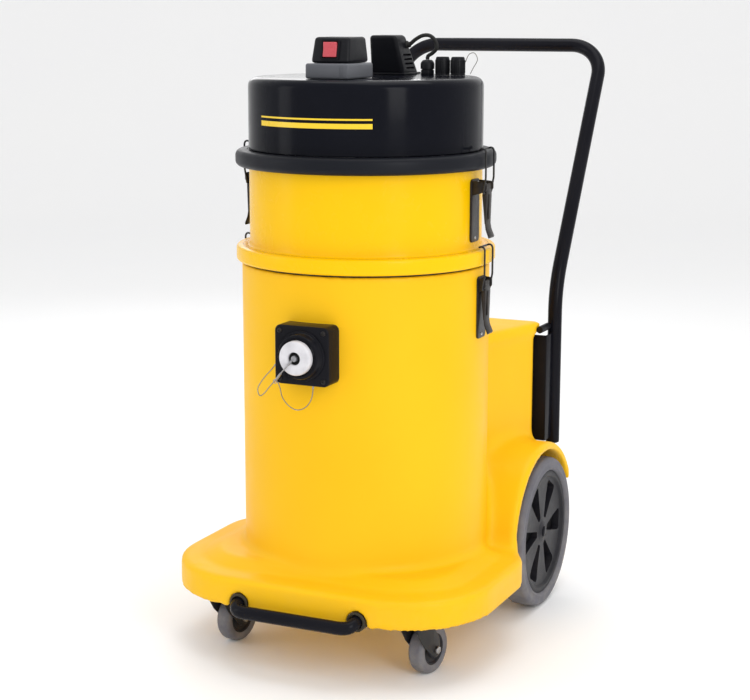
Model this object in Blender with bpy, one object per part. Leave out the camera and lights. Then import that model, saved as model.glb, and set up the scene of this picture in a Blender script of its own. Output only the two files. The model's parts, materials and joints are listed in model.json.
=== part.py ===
"""Shop vacuum on a two-wheel chassis, as separate solids. Metres, +Z up, front towards -Y.

The drum axis is the local origin of the empty "vacuum_frame". The world origin is the middle of
the footprint, on the floor.
"""
import math

import bmesh
import bpy
from mathutils import Matrix, Vector

# ---------------------------------------------------------------- driving dimensions
FIT = 0.0003                # gap between touching pieces
WALL = 0.006                # moulded body wall
STEEL = 0.003               # painted steel wall

DRUM_RADIUS = 0.192
BODY_BOTTOM = 0.093         # lower edge of the skirt above the floor
SKIRT_HEIGHT = 0.048
DRUM_FLOOR_RISE = 0.015     # container floor above the top of the skirt
BODY_HEIGHT = 0.5055        # lower edge of the skirt to the container rim
SKIRT_SIDE = 0.066          # skirt beyond the drum, sideways
SKIRT_FRONT = 0.053         # skirt beyond the drum, forwards
SKIRT_CORNER = 0.140
FENDER_CORNER = 0.075

CLAMP_OVERHANG = 0.0085     # clamp rings beyond the drum
CHAMBER_INSET = 0.0125      # chamber wall inside the drum wall
SEAL_THICKNESS = 0.0022
FLANGE_HEIGHT = 0.0237
CHAMBER_HEIGHT = 0.1208
HEAD_RING_HEIGHT = 0.0255
DOME_HEIGHT = 0.1085
DOME_EDGE = 0.014
DOME_WALL = 0.0025

WHEEL_RADIUS = 0.125
TYRE_WIDTH = 0.046
TYRE_SECTION = 0.0225
WHEEL_OUTBOARD = 0.016      # wheel middle plane beyond the drum radius
AXLE_BEHIND = 0.030         # axle behind the drum wall
AXLE_RADIUS = 0.008
ARCH_CLEARANCE = 0.012
ARCH_WALL = 0.013

BOX_TOP_DROP = 0.137        # container rim down to the top of the rear box
BOX_HALF_WIDTH = 0.181
BOX_FRONT_HALF_WIDTH = 0.118
BOX_BEHIND = 0.122          # rear wall behind the drum wall
BOX_CAP_HEIGHT = 0.0175
BOX_CAP_LIP = 0.013
HUMP_BEHIND = 0.163

TUBE_RADIUS = 0.012
HANDLE_HALF_WIDTH = 0.190
HANDLE_GAP = 0.032          # rear wall of the box to the tube
HANDLE_FOOT_DROP = 0.003    # top of the wheel down to the tube's foot
HANDLE_BEND = 0.515
HANDLE_TOP = 0.918
HANDLE_LEAN = math.radians(30.6)
HANDLE_CORNER = 0.060

FOOT_BAR_RADIUS = 0.010
FOOT_BAR_HALF_WIDTH = 0.098
FOOT_BAR_REACH = 0.019      # bar centre ahead of the skirt
FOOT_BAR_DROP = 0.006

CASTER_RADIUS = 0.0375
CASTER_WIDTH = 0.025
CASTER_TRAIL = 0.028
CASTER_HALF_TRACK = 0.164
CASTER_AHEAD = 0.170        # swivel axes ahead of the drum axis
CASTER_YAW = math.radians(-11.0)

INLET_DROP = 0.1135         # container rim down to the middle of the inlet
INLET_WIDTH = 0.088
INLET_TALL = 0.088
INLET_DEPTH = 0.030
INLET_BORE = 0.0205
INLET_COLLAR = 0.034
COLLAR_RISE = 0.013         # collar ahead of the plate
PLUG_FACE = 0.011           # front of the plug ahead of the collar
LINK_RADIUS = 0.0011

LATCH_WIRE = 0.0015
LATCH_HALF_WIDTH = 0.0165
LATCH_PIVOT_DROP = 0.050    # ring top down to the lever pivot
LATCH_CRANK = 0.010
LATCH_LEVER = 0.078

MOTOR_RADIUS = 0.070
MOTOR_SPACING = 0.080

COWL_Y = 0.100              # the cowl's crown and the row of gland and caps
COWL_BASE = 0.0285
COWL_CROWN = 0.0225
COWL_HEIGHT = 0.061
CAP_HEIGHT = 0.028
CAP_SPACING = 0.0255
LEAD_RADIUS = 0.003

SEGMENTS = 40
WHEEL_SEGMENTS = 32
SMALL_SEGMENTS = 20
ROUTE_STEPS = 24

# ---------------------------------------------------------------- derived places
SKIRT_HALF_WIDTH = DRUM_RADIUS + SKIRT_SIDE
SKIRT_Y = -(DRUM_RADIUS + SKIRT_FRONT)
SKIRT_TOP = BODY_BOTTOM + SKIRT_HEIGHT
FLOOR_Z = SKIRT_TOP + DRUM_FLOOR_RISE
BODY_TOP = BODY_BOTTOM + BODY_HEIGHT
CLAMP_RADIUS = DRUM_RADIUS + CLAMP_OVERHANG
CHAMBER_RADIUS = DRUM_RADIUS - CHAMBER_INSET
FLANGE_BOTTOM = BODY_TOP + SEAL_THICKNESS + 2 * FIT
FLANGE_TOP = FLANGE_BOTTOM + FLANGE_HEIGHT
CHAMBER_TOP = FLANGE_TOP + CHAMBER_HEIGHT
HEAD_BOTTOM = CHAMBER_TOP + SEAL_THICKNESS + 2 * FIT
RING_BOTTOM = CHAMBER_TOP - 0.0002
RING_TOP = RING_BOTTOM + HEAD_RING_HEIGHT
COVER_BOTTOM = RING_TOP + FIT
COVER_TOP = COVER_BOTTOM + DOME_HEIGHT
WHEEL_X = DRUM_RADIUS + WHEEL_OUTBOARD
AXLE_Y = DRUM_RADIUS + AXLE_BEHIND
AXLE_Z = WHEEL_RADIUS
ARCH_RADIUS = WHEEL_RADIUS + ARCH_CLEARANCE
WELL_X = WHEEL_X - TYRE_WIDTH / 2 - 0.009
ARCH_LIP_X = WHEEL_X + TYRE_WIDTH / 2 - 0.005
BOX_Y = DRUM_RADIUS + BOX_BEHIND
BOX_TOP = BODY_TOP - BOX_TOP_DROP
BOX_CAP_BOTTOM = BOX_TOP - BOX_CAP_HEIGHT
HUMP_Y = DRUM_RADIUS + HUMP_BEHIND
HUMP_TOP = AXLE_Z + WHEEL_RADIUS
LEG_Y = BOX_Y + HANDLE_GAP + TUBE_RADIUS
HANDLE_FOOT = AXLE_Z + WHEEL_RADIUS - HANDLE_FOOT_DROP
CROSSBAR_Y = LEG_Y + (HANDLE_TOP - HANDLE_BEND) * math.tan(HANDLE_LEAN)
FOOT_BAR_Y = SKIRT_Y - FOOT_BAR_REACH
SOCKET_Z = BODY_BOTTOM + 0.0075
CASTER_PLATE_TOP = 2 * CASTER_RADIUS + 0.0283
INLET_HEIGHT = BODY_TOP - INLET_DROP
INLET_FACE_Y = -(DRUM_RADIUS + INLET_DEPTH)
DRUM_Y = -((CROSSBAR_Y + TUBE_RADIUS) + (FOOT_BAR_Y - FOOT_BAR_RADIUS)) / 2


# ---------------------------------------------------------------- modelling helpers
def clear_scene():
    """Removes everything that the start-up file holds."""
    for obj in list(bpy.data.objects):
        bpy.data.objects.remove(obj, do_unlink=True)


def material(name, colour, roughness, metallic=0.0):
    """A Principled material, made once for each name."""
    found = bpy.data.materials.get(name)
    if found:
        return found
    made = bpy.data.materials.new(name)
    made.use_nodes = True
    shader = made.node_tree.nodes["Principled BSDF"]
    shader.inputs["Base Color"].default_value = (*colour, 1.0)
    shader.inputs["Roughness"].default_value = roughness
    shader.inputs["Metallic"].default_value = metallic
    made.diffuse_color = (*colour, 1.0)
    return made


def moulded_yellow():
    return material("moulded_yellow", (0.95, 0.60, 0.03), 0.42)


def painted_yellow():
    return material("painted_yellow", (0.97, 0.62, 0.01), 0.25)


def gloss_black():
    return material("gloss_black", (0.006, 0.006, 0.008), 0.12)


def satin_grey():
    return material("satin_grey", (0.035, 0.037, 0.042), 0.38)


def black_plastic():
    return material("black_plastic", (0.012, 0.012, 0.014), 0.45)


def black_tube():
    return material("black_tube_paint", (0.008, 0.008, 0.010), 0.22)


def black_wire():
    return material("black_wire", (0.015, 0.015, 0.016), 0.35, 0.6)


def bright_steel():
    return material("bright_steel", (0.62, 0.62, 0.62), 0.28, 1.0)


def grey_rubber():
    return material("grey_rubber", (0.17, 0.17, 0.19), 0.70)


def black_rubber():
    return material("black_rubber", (0.010, 0.010, 0.010), 0.75)


def silver_plastic():
    return material("silver_plastic", (0.45, 0.46, 0.48), 0.40)


def white_plastic():
    return material("white_plastic", (0.80, 0.80, 0.82), 0.35)


def red_plastic():
    return material("red_plastic", (0.60, 0.05, 0.05), 0.35)


def filter_cloth():
    return material("filter_cloth", (0.70, 0.68, 0.60), 0.90)


def motor_steel():
    return material("motor_steel", (0.40, 0.40, 0.41), 0.45, 0.9)


def frame_object():
    """The empty on the drum axis that carries every piece."""
    found = bpy.data.objects.get("vacuum_frame")
    if found:
        return found
    empty = bpy.data.objects.new("vacuum_frame", None)
    empty.location = (0.0, DRUM_Y, 0.0)
    bpy.context.scene.collection.objects.link(empty)
    return empty


def pivot(name, place, yaw=0.0, parent=None):
    """An empty on a joint axis, for the pieces that turn there."""
    empty = bpy.data.objects.new(name, None)
    empty.location = place
    empty.rotation_euler = (0.0, 0.0, yaw)
    empty.parent = parent or frame_object()
    bpy.context.scene.collection.objects.link(empty)
    return empty


def finish(name, bm, finish_material=None, parent=None, place=(0.0, 0.0, 0.0)):
    """Turns a bmesh into a named object with outward faces and smooth round sides."""
    bmesh.ops.recalc_face_normals(bm, faces=bm.faces)
    mesh = bpy.data.meshes.new(name)
    bm.to_mesh(mesh)
    bm.free()
    mesh.shade_smooth()
    mesh.set_sharp_from_angle(angle=math.radians(35))
    obj = bpy.data.objects.new(name, mesh)
    if finish_material:
        mesh.materials.append(finish_material)
    obj.parent = parent or frame_object()
    obj.location = place
    bpy.context.scene.collection.objects.link(obj)
    return obj


def guide(name, bm, parent=None):
    """A hidden solid that cuts or joins another."""
    obj = finish(name, bm, None, parent)
    obj.hide_render = True
    obj.display_type = "WIRE"
    return obj


def combine(target, operation, *operands):
    """Adds one exact Boolean for each operand."""
    for operand in operands:
        modifier = target.modifiers.new(operand.name, "BOOLEAN")
        modifier.operation = operation
        modifier.solver = "EXACT"
        modifier.object = operand
    return target


def arc(centre, radius, start, end, steps):
    """Points on an arc, angles in degrees."""
    angles = [math.radians(start + (end - start) * i / steps) for i in range(steps + 1)]
    return [(centre[0] + radius * math.cos(a), centre[1] + radius * math.sin(a)) for a in angles]


def rounded(corners, steps=6):
    """A closed outline through corners (x, y, radius), each rounded by its radius."""
    points = []
    count = len(corners)
    for i, (x, y, radius) in enumerate(corners):
        here = Vector((x, y))
        if radius <= 0.0:
            points.append((x, y))
            continue
        before = (Vector(corners[i - 1][:2]) - here).normalized()
        after = (Vector(corners[(i + 1) % count][:2]) - here).normalized()
        half = before.angle(after) / 2
        reach = radius / math.tan(half)
        centre = here + (before + after).normalized() * (radius / math.sin(half))
        first = here + before * reach - centre
        last = here + after * reach - centre
        sweep = first.angle_signed(last)
        for k in range(steps + 1):
            turned_arm = Matrix.Rotation(-sweep * k / steps, 2) @ first
            points.append(tuple(centre + turned_arm))
    return points


def mirrored(half):
    """A closed outline from its +X half, listed from front to back."""
    return half + [(-x, y, r) for x, y, r in reversed(half)]


def prism(outline, low, high, axis="Z"):
    """A solid with this outline, from low to high along an axis.

    The outline is (x, y) along Z, (y, z) along X and (x, z) along Y.
    """
    place = {
        "Z": lambda p, h: (p[0], p[1], h),
        "X": lambda p, h: (h, p[0], p[1]),
        "Y": lambda p, h: (p[0], h, p[1]),
    }[axis]
    bm = bmesh.new()
    lower = [bm.verts.new(place(p, low)) for p in outline]
    upper = [bm.verts.new(place(p, high)) for p in outline]
    count = len(outline)
    bm.faces.new(lower)
    bm.faces.new(upper)
    for i in range(count):
        j = (i + 1) % count
        bm.faces.new((lower[i], lower[j], upper[j], upper[i]))
    return bm


def box(x0, x1, y0, y1, z0, z1):
    """A plain block between two corners."""
    return prism([(x0, y0), (x1, y0), (x1, y1), (x0, y1)], z0, z1)


def cylinder(radius, low, high, axis="Z", centre=(0.0, 0.0), segments=20):
    """A round bar along an axis, through centre in the other two."""
    outline = arc(centre, radius, 0.0, 360.0, segments)[:-1]
    return prism(outline, low, high, axis)


def strut(start, end, radius):
    """A straight round bar between two points."""
    along = end - start
    bm = cylinder(radius, 0.0, along.length, segments=10)
    place = Matrix.Translation(start) @ along.to_track_quat("Z", "Y").to_matrix().to_4x4()
    bmesh.ops.transform(bm, matrix=place, verts=bm.verts)
    return bm


def turned(profile, segments=SEGMENTS, axis="Z"):
    """A closed profile of (radius, height) spun about an axis. Radius 0 closes on the axis."""
    bm = bmesh.new()
    columns = []
    for radius, height in profile:
        if radius <= 1e-7:
            columns.append([bm.verts.new((0.0, 0.0, height))] * segments)
            continue
        angles = [2 * math.pi * k / segments for k in range(segments)]
        columns.append([bm.verts.new((radius * math.cos(a), radius * math.sin(a), height)) for a in angles])
    for i, here in enumerate(columns):
        there = columns[(i + 1) % len(columns)]
        for k in range(segments):
            m = (k + 1) % segments
            corners = []
            for vert in (here[k], here[m], there[m], there[k]):
                if vert not in corners:
                    corners.append(vert)
            if len(corners) > 2:
                bm.faces.new(corners)
    if axis == "X":
        bmesh.ops.rotate(bm, verts=bm.verts, matrix=Matrix.Rotation(math.pi / 2, 3, "Y"))
    if axis == "Y":
        bmesh.ops.rotate(bm, verts=bm.verts, matrix=Matrix.Rotation(math.pi / 2, 3, "X"))
    return bm


def smooth_route(points, step):
    """Evenly spaced points on a smooth curve through the given ones."""
    knots = [Vector(p) for p in points]
    count = len(knots)
    dense = []
    for i in range(count - 1):
        a, b = knots[i], knots[i + 1]
        before = knots[i - 1] if i > 0 else a * 2 - b
        after = knots[i + 2] if i + 2 < count else b * 2 - a
        for k in range(ROUTE_STEPS):
            t = k / ROUTE_STEPS
            dense.append(0.5 * ((2 * a) + (b - before) * t + (2 * before - 5 * a + 4 * b - after) * t * t
                                + (3 * a - before - 3 * b + after) * t ** 3))
    dense.append(knots[-1])
    lengths = [0.0]
    for a, b in zip(dense, dense[1:]):
        lengths.append(lengths[-1] + (b - a).length)
    number = max(2, round(lengths[-1] / step))
    route = []
    k = 0
    for i in range(number + 1):
        goal = lengths[-1] * i / number
        while k < len(dense) - 2 and lengths[k + 1] < goal:
            k += 1
        span = lengths[k + 1] - lengths[k]
        route.append(dense[k].lerp(dense[k + 1], (goal - lengths[k]) / span if span else 0.0))
    return route


def tube(name, points, radius, finish_material, parent=None, closed=False, resolution=3):
    """A round bar along a list of points, with flat filled ends."""
    curve = bpy.data.curves.new(name, "CURVE")
    curve.dimensions = "3D"
    curve.bevel_depth = radius
    curve.bevel_resolution = resolution
    curve.use_fill_caps = not closed
    spline = curve.splines.new("POLY")
    spline.points.add(len(points) - 1)
    for point, place in zip(spline.points, points):
        point.co = (*place, 1.0)
    spline.use_cyclic_u = closed
    spline.use_smooth = True
    curve.materials.append(finish_material)
    obj = bpy.data.objects.new(name, curve)
    obj.parent = parent or frame_object()
    bpy.context.scene.collection.objects.link(obj)
    return obj


# ---------------------------------------------------------------- moulded body
def skirt_outline(inset=0.0):
    """Plan of the skirt: round front corners, then round into the wheel wells."""
    side = SKIRT_HALF_WIDTH - inset
    back = AXLE_Y - ARCH_RADIUS - inset
    half = [
        (side, SKIRT_Y + inset, SKIRT_CORNER - inset),
        (side, back, FENDER_CORNER),
        (WELL_X - inset, back, 0.0),
        (WELL_X - inset, HUMP_Y - inset, 0.030),
    ]
    return rounded(mirrored(half), 8)


def box_outline(rear, half_width, corner):
    """Plan of the rear box, which widens towards the back and runs into the drum."""
    half = [(BOX_FRONT_HALF_WIDTH, 0.10, 0.0), (half_width, rear, corner)]
    return rounded(mirrored(half), 5)


def arch_outline(radius):
    """Side view of a wheel arch about the axle."""
    return arc((AXLE_Y, AXLE_Z), radius, 0.0, 360.0, 36)[:-1]


def chassis_body():
    """The one-piece moulding: skirt, container, rear box, fenders and their hollows."""
    body = finish("chassis_body", prism(skirt_outline(), BODY_BOTTOM, SKIRT_TOP), moulded_yellow())
    drum_bottom = BODY_BOTTOM + 0.022
    joined = [
        guide("drum_outside", cylinder(DRUM_RADIUS, drum_bottom, BODY_TOP, segments=SEGMENTS)),
        guide("box_outside", prism(box_outline(BOX_Y, BOX_HALF_WIDTH, 0.020), SKIRT_TOP - 0.02,
                                   BOX_CAP_BOTTOM + 0.002)),
        guide("box_cap", prism(box_outline(BOX_Y + BOX_CAP_LIP, BOX_HALF_WIDTH + 0.004, 0.014),
                               BOX_CAP_BOTTOM, BOX_TOP)),
        guide("hump", box(-WELL_X + 0.002, WELL_X - 0.002, AXLE_Y - 0.07, HUMP_Y - 0.004,
                          SKIRT_TOP - 0.01, HUMP_TOP - 0.012)),
    ]
    for side in (-1, 1):
        low, high = sorted((side * (WELL_X - 0.060), side * ARCH_LIP_X))
        fender = guide("fender_%d" % side, prism(arch_outline(ARCH_RADIUS + ARCH_WALL), low, high, "X"))
        combine(fender, "INTERSECT", guide("fender_trim_%d" % side, box(
            -0.4, 0.4, -0.1, HUMP_Y - 0.010, BODY_BOTTOM + 0.001, 0.5)))
        joined.append(fender)
    combine(body, "UNION", *joined)

    hollow_half = box_outline(BOX_Y - WALL, BOX_HALF_WIDTH - WALL - 0.012, 0.012)
    hollow_front = DRUM_RADIUS + 0.003
    hollow = [(x, max(y, hollow_front)) for x, y in hollow_half]
    skirt_hollow = guide("skirt_hollow", prism(skirt_outline(WALL), BODY_BOTTOM - 0.05, SKIRT_TOP - WALL))
    cuts = [
        guide("container_hollow", cylinder(DRUM_RADIUS - WALL, FLOOR_Z, BODY_TOP + 0.05, segments=SEGMENTS)),
        skirt_hollow,
        guide("box_hollow", prism(hollow, SKIRT_TOP - 0.02, BOX_CAP_BOTTOM - WALL)),
        guide("hump_hollow", box(-WELL_X + WALL, WELL_X - WALL, hollow_front, HUMP_Y - 0.004 - WALL,
                                 SKIRT_TOP - 0.021, HUMP_TOP - 0.012 - WALL)),
        guide("inlet_hole", cylinder(INLET_BORE, -DRUM_RADIUS - 0.05, -DRUM_RADIUS + 0.05, "Y",
                                     (0.0, INLET_HEIGHT), 32)),
        guide("axle_hole", cylinder(AXLE_RADIUS + FIT, -0.3, 0.3, "X", (AXLE_Y, AXLE_Z))),
    ]
    for side in (-1, 1):
        low, high = sorted((side * WELL_X, side * (WELL_X + 0.2)))
        cuts.append(guide("wheel_well_%d" % side, prism(arch_outline(ARCH_RADIUS), low, high, "X")))
        cuts.append(guide("bar_notch_%d" % side, cylinder(
            FOOT_BAR_RADIUS + 0.005 + FIT, SKIRT_Y - 0.01, SKIRT_Y + 0.02, "Y",
            (side * FOOT_BAR_HALF_WIDTH, SOCKET_Z))))
        cuts.append(guide("stud_hole_%d" % side, cylinder(
            0.006 + FIT, BOX_Y - 0.012, BOX_Y + 0.05, "Y",
            (side * (HANDLE_HALF_WIDTH - 0.008), BOX_TOP - 0.0115))))
    combine(body, "DIFFERENCE", *cuts)

    bosses = [
        guide("caster_boss_%d" % side, box(
            side * CASTER_HALF_TRACK - 0.032, side * CASTER_HALF_TRACK + 0.032,
            -CASTER_AHEAD - 0.037, -CASTER_AHEAD + 0.037, CASTER_PLATE_TOP + FIT, SKIRT_TOP - WALL / 2))
        for side in (-1, 1)
    ]
    return combine(body, "UNION", *bosses)


def container_seal():
    """The flat ring between the container rim and the chamber flange."""
    low = BODY_TOP + FIT
    high = low + SEAL_THICKNESS
    outer = DRUM_RADIUS - 0.0005
    inner = DRUM_RADIUS - WALL + 0.0005
    profile = [(inner, low), (outer, low), (outer, high), (inner, high)]
    return finish("container_seal", turned(profile, SMALL_SEGMENTS), black_rubber())


def dust_bag():
    """The filled bag on the container floor."""
    radius = DRUM_RADIUS - WALL - 0.018
    low = FLOOR_Z + 0.001
    high = INLET_HEIGHT - 0.070
    profile = [(0.0, low), (radius - 0.03, low), (radius, low + 0.04), (radius + 0.004, low + 0.12),
               (radius - 0.006, high - 0.045), (radius - 0.045, high - 0.010), (0.0, high)]
    return finish("dust_bag", turned(profile, SMALL_SEGMENTS), filter_cloth())


# ---------------------------------------------------------------- inlet
def inlet_parts():
    """Plate on its saddle gasket, deflector inside and plug outside."""
    centre = (0.0, INLET_HEIGHT)
    half_wide = INLET_WIDTH / 2
    half_tall = INLET_TALL / 2
    low, high = INLET_HEIGHT - half_tall, INLET_HEIGHT + half_tall
    square = rounded([(-half_wide, low, 0.009), (half_wide, low, 0.009),
                      (half_wide, high, 0.009), (-half_wide, high, 0.009)], 4)
    bore = guide("inlet_bore", cylinder(INLET_BORE, INLET_FACE_Y - 0.05, 0.0, "Y", centre, 32))

    def behind(name, radius):
        return guide(name, cylinder(radius, low - 0.05, high + 0.05, segments=SEGMENTS))

    gasket = finish("inlet_gasket", prism(square, -DRUM_RADIUS - 0.020, -DRUM_RADIUS + 0.025, "Y"),
                    black_rubber())
    combine(gasket, "INTERSECT", behind("gasket_outside", DRUM_RADIUS + FIT + 0.002))
    combine(gasket, "DIFFERENCE", behind("gasket_inside", DRUM_RADIUS + FIT), bore)

    plate = finish("inlet_plate", prism(square, INLET_FACE_Y, -DRUM_RADIUS + 0.025, "Y"), black_plastic())
    combine(plate, "DIFFERENCE", behind("plate_saddle", DRUM_RADIUS + 2 * FIT + 0.002))
    collar = guide("inlet_collar", cylinder(INLET_COLLAR, INLET_FACE_Y - COLLAR_RISE,
                                            INLET_FACE_Y + 0.006, "Y", centre, SEGMENTS))
    combine(plate, "UNION", collar)
    combine(plate, "DIFFERENCE", bore)

    inner = DRUM_RADIUS - WALL - FIT
    hood = finish("inlet_deflector", box(-0.034, 0.034, -inner - 0.01, -inner + 0.032,
                                         INLET_HEIGHT - 0.034, INLET_HEIGHT + 0.030), bright_steel())
    combine(hood, "INTERSECT", behind("hood_outside", inner))
    combine(hood, "DIFFERENCE", guide("hood_hollow", box(
        -0.032, 0.032, -inner - 0.05, -inner + 0.030, INLET_HEIGHT - 0.05, INLET_HEIGHT + 0.028)))

    face = INLET_FACE_Y - COLLAR_RISE - FIT
    stud_top = PLUG_FACE + 0.0020
    plug_profile = [(0.0, stud_top), (0.0045, stud_top), (0.0045, 0.0050), (0.0093, 0.0050),
                    (0.0093, PLUG_FACE),
                    (0.0225, PLUG_FACE), (0.0255, 0.0080), (0.0255, 0.0), (0.0195, 0.0),
                    (0.0190, -0.0215), (0.0, -0.0215)]
    plug = finish("inlet_cap", turned(plug_profile, SMALL_SEGMENTS, "Y"), white_plastic(),
                  place=(0.0, face, INLET_HEIGHT))
    start, bend, end = link_points()
    combine(plug, "UNION", guide("link_front", strut(start, bend, LINK_RADIUS)),
            guide("link_end", strut(bend, end, LINK_RADIUS)))


def link_points():
    """Start, bend and end of the stiff link from the plug's stud towards the wire."""
    front = INLET_FACE_Y - COLLAR_RISE - FIT - PLUG_FACE - 0.0023
    return (Vector((0.0, front, INLET_HEIGHT)), Vector((-0.019, front, INLET_HEIGHT - 0.021)),
            Vector((-0.0326, front + 0.0075, INLET_HEIGHT - 0.0354)))


def inlet_lanyard():
    """The thin wire rope from the side of the plate, past the link and under the plate."""
    edge = INLET_WIDTH / 2 + FIT
    under = INLET_TALL / 2 + FIT
    wall = INLET_FACE_Y
    route = [(-edge, 0.012, -0.0170), (-edge - 0.004, 0.011, -0.0185), (-0.055, 0.009, -0.027),
             (-0.067, 0.007, -0.041), (-0.076, 0.006, -0.056), (-0.072, 0.004, -0.0665),
             (-0.062, 0.000, -0.061), (-0.049, -0.006, -0.048), (-0.034, -0.015, -0.037),
             (-0.0305, -0.010, -0.048), (-0.033, 0.002, -0.065), (-0.0265, 0.010, -0.079),
             (-0.0145, 0.014, -0.085), (-0.0005, 0.015, -0.079), (0.009, 0.014, -0.0655),
             (0.0118, 0.014, -under - 0.004), (0.012, 0.014, -under)]
    points = [(x, wall + y, INLET_HEIGHT + z) for x, y, z in route]
    return tube("inlet_lanyard", smooth_route(points, 0.0046), 0.0008, bright_steel(), resolution=2)


# ---------------------------------------------------------------- filter chamber
def filter_chamber():
    """Painted steel tube with its clamp flange, and a ledge for the filter ring."""
    outer = CHAMBER_RADIUS
    inner = outer - STEEL
    round_edge = 0.004
    profile = [(inner, FLANGE_BOTTOM), (CLAMP_RADIUS - round_edge, FLANGE_BOTTOM),
               *arc((CLAMP_RADIUS - round_edge, FLANGE_BOTTOM + round_edge), round_edge, -60, 0, 1),
               *arc((CLAMP_RADIUS - round_edge, FLANGE_TOP - round_edge), round_edge, 0, 90, 2),
               (outer, FLANGE_TOP), (outer, CHAMBER_TOP), (inner, CHAMBER_TOP),
               (inner, CHAMBER_TOP - 0.018), (inner - 0.012, CHAMBER_TOP - 0.018),
               (inner - 0.012, CHAMBER_TOP - 0.021), (inner, CHAMBER_TOP - 0.021)]
    return finish("filter_chamber", turned(profile), painted_yellow())


def chamber_seal():
    """The ring between the chamber rim and the head."""
    low = CHAMBER_TOP + FIT
    high = low + SEAL_THICKNESS
    outer = CHAMBER_RADIUS - 0.0003
    profile = [(outer - STEEL, low), (outer, low), (outer, high), (outer - STEEL, high)]
    return finish("chamber_seal", turned(profile, SMALL_SEGMENTS), black_rubber())


def filter_parts():
    """The mounting ring on its ledge and the cartridge that hangs in it."""
    inner = CHAMBER_RADIUS - STEEL
    seat = CHAMBER_TOP - 0.018 + FIT
    hole = inner - 0.060
    ring = [(hole, seat), (inner - 0.001, seat), (inner - 0.001, seat + 0.010), (hole, seat + 0.010)]
    finish("filter_ring", turned(ring, SMALL_SEGMENTS), black_plastic())
    rim = seat + 0.010 + FIT
    outer = hole - 0.002
    low = INLET_HEIGHT + 0.045
    cartridge = [(outer - 0.020, low + 0.012), (outer - 0.020, rim + 0.004), (outer + 0.012, rim + 0.004),
                 (outer + 0.012, rim), (outer, rim), (outer, low), (0.0, low), (0.0, low + 0.012)]
    finish("filter_cartridge", turned(cartridge, SMALL_SEGMENTS), filter_cloth())


# ---------------------------------------------------------------- head
def head_base():
    """Grey clamp ring with the motor plate, open under each motor."""
    lip = CHAMBER_RADIUS + 0.003
    edge = 0.009
    profile = [(0.0, HEAD_BOTTOM), (lip, HEAD_BOTTOM), (lip, RING_BOTTOM),
               (CLAMP_RADIUS - edge, RING_BOTTOM),
               *arc((CLAMP_RADIUS - edge, RING_BOTTOM + edge), edge, -60, 0, 2),
               *arc((CLAMP_RADIUS - edge, RING_TOP - edge), edge, 0, 90, 2),
               (CHAMBER_RADIUS - 0.004, RING_TOP), (CHAMBER_RADIUS - 0.004, HEAD_BOTTOM + 0.006),
               (0.0, HEAD_BOTTOM + 0.006)]
    base = finish("head_base", turned(profile), satin_grey())
    holes = [guide("motor_inlet_%d" % i, cylinder(0.024, HEAD_BOTTOM - 0.05, HEAD_BOTTOM + 0.05,
                                                  centre=(0.0, y), segments=26))
             for i, y in enumerate((-MOTOR_SPACING, MOTOR_SPACING))]
    return combine(base, "DIFFERENCE", *holes)


def motor_cover():
    """The gloss dome, open below."""
    outer = CHAMBER_RADIUS + 0.0005
    inner = outer - DOME_WALL
    round_top = arc((outer - DOME_EDGE, COVER_TOP - DOME_EDGE), DOME_EDGE, 0, 90, 3)
    round_under = arc((outer - DOME_EDGE, COVER_TOP - DOME_EDGE), DOME_EDGE - DOME_WALL, 90, 0, 2)
    profile = [(inner, COVER_BOTTOM), (outer, COVER_BOTTOM), *round_top, (0.0, COVER_TOP),
               (0.0, COVER_TOP - DOME_WALL), *round_under]
    return finish("motor_cover", turned(profile), gloss_black())


def motors():
    """Two by-pass motors on the plate, each with a fan that turns inside."""
    base = HEAD_BOTTOM + 0.006 + FIT
    can = MOTOR_RADIUS - 0.024
    casing = [(0.020, base), (MOTOR_RADIUS, base), (MOTOR_RADIUS, base + 0.034), (can, base + 0.040),
              (can, base + 0.088), (can - 0.012, base + 0.094), (0.0, base + 0.094),
              (0.0, base + 0.080), (0.0050, base + 0.080), (0.0050, base + 0.030),
              (MOTOR_RADIUS - 0.003, base + 0.030), (MOTOR_RADIUS - 0.003, base + 0.003),
              (0.020, base + 0.003)]
    rotor = [(0.0, 0.0), (MOTOR_RADIUS - 0.007, 0.0), (MOTOR_RADIUS - 0.007, 0.004), (0.030, 0.016),
             (0.0044, 0.016), (0.0044, 0.066), (0.0, 0.066)]
    for place, y in (("front", -MOTOR_SPACING), ("rear", MOTOR_SPACING)):
        finish("motor_" + place, turned(casing, SMALL_SEGMENTS), motor_steel(), place=(0.0, y, 0.0))
        finish("fan_rotor_" + place, turned(rotor, 16), bright_steel(), place=(0.0, y, base + 0.008))


def frustum(low, high, z0, z1):
    """A block whose top differs from its bottom, each given as (x0, x1, y0, y1)."""
    bm = bmesh.new()
    rings = []
    for (x0, x1, y0, y1), z in ((low, z0), (high, z1)):
        rings.append([bm.verts.new(p) for p in ((x0, y0, z), (x1, y0, z), (x1, y1, z), (x0, y1, z))])
    bm.faces.new(rings[0])
    bm.faces.new(rings[1])
    for i in range(4):
        j = (i + 1) % 4
        bm.faces.new((rings[0][i], rings[0][j], rings[1][j], rings[1][i]))
    return bm


def soften(obj, width, segments=2):
    """A small bevel on every edge."""
    modifier = obj.modifiers.new("soft_edges", "BEVEL")
    modifier.width = width
    modifier.segments = segments
    modifier.limit_method = "ANGLE"
    modifier.angle_limit = math.radians(30)
    return obj


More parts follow.
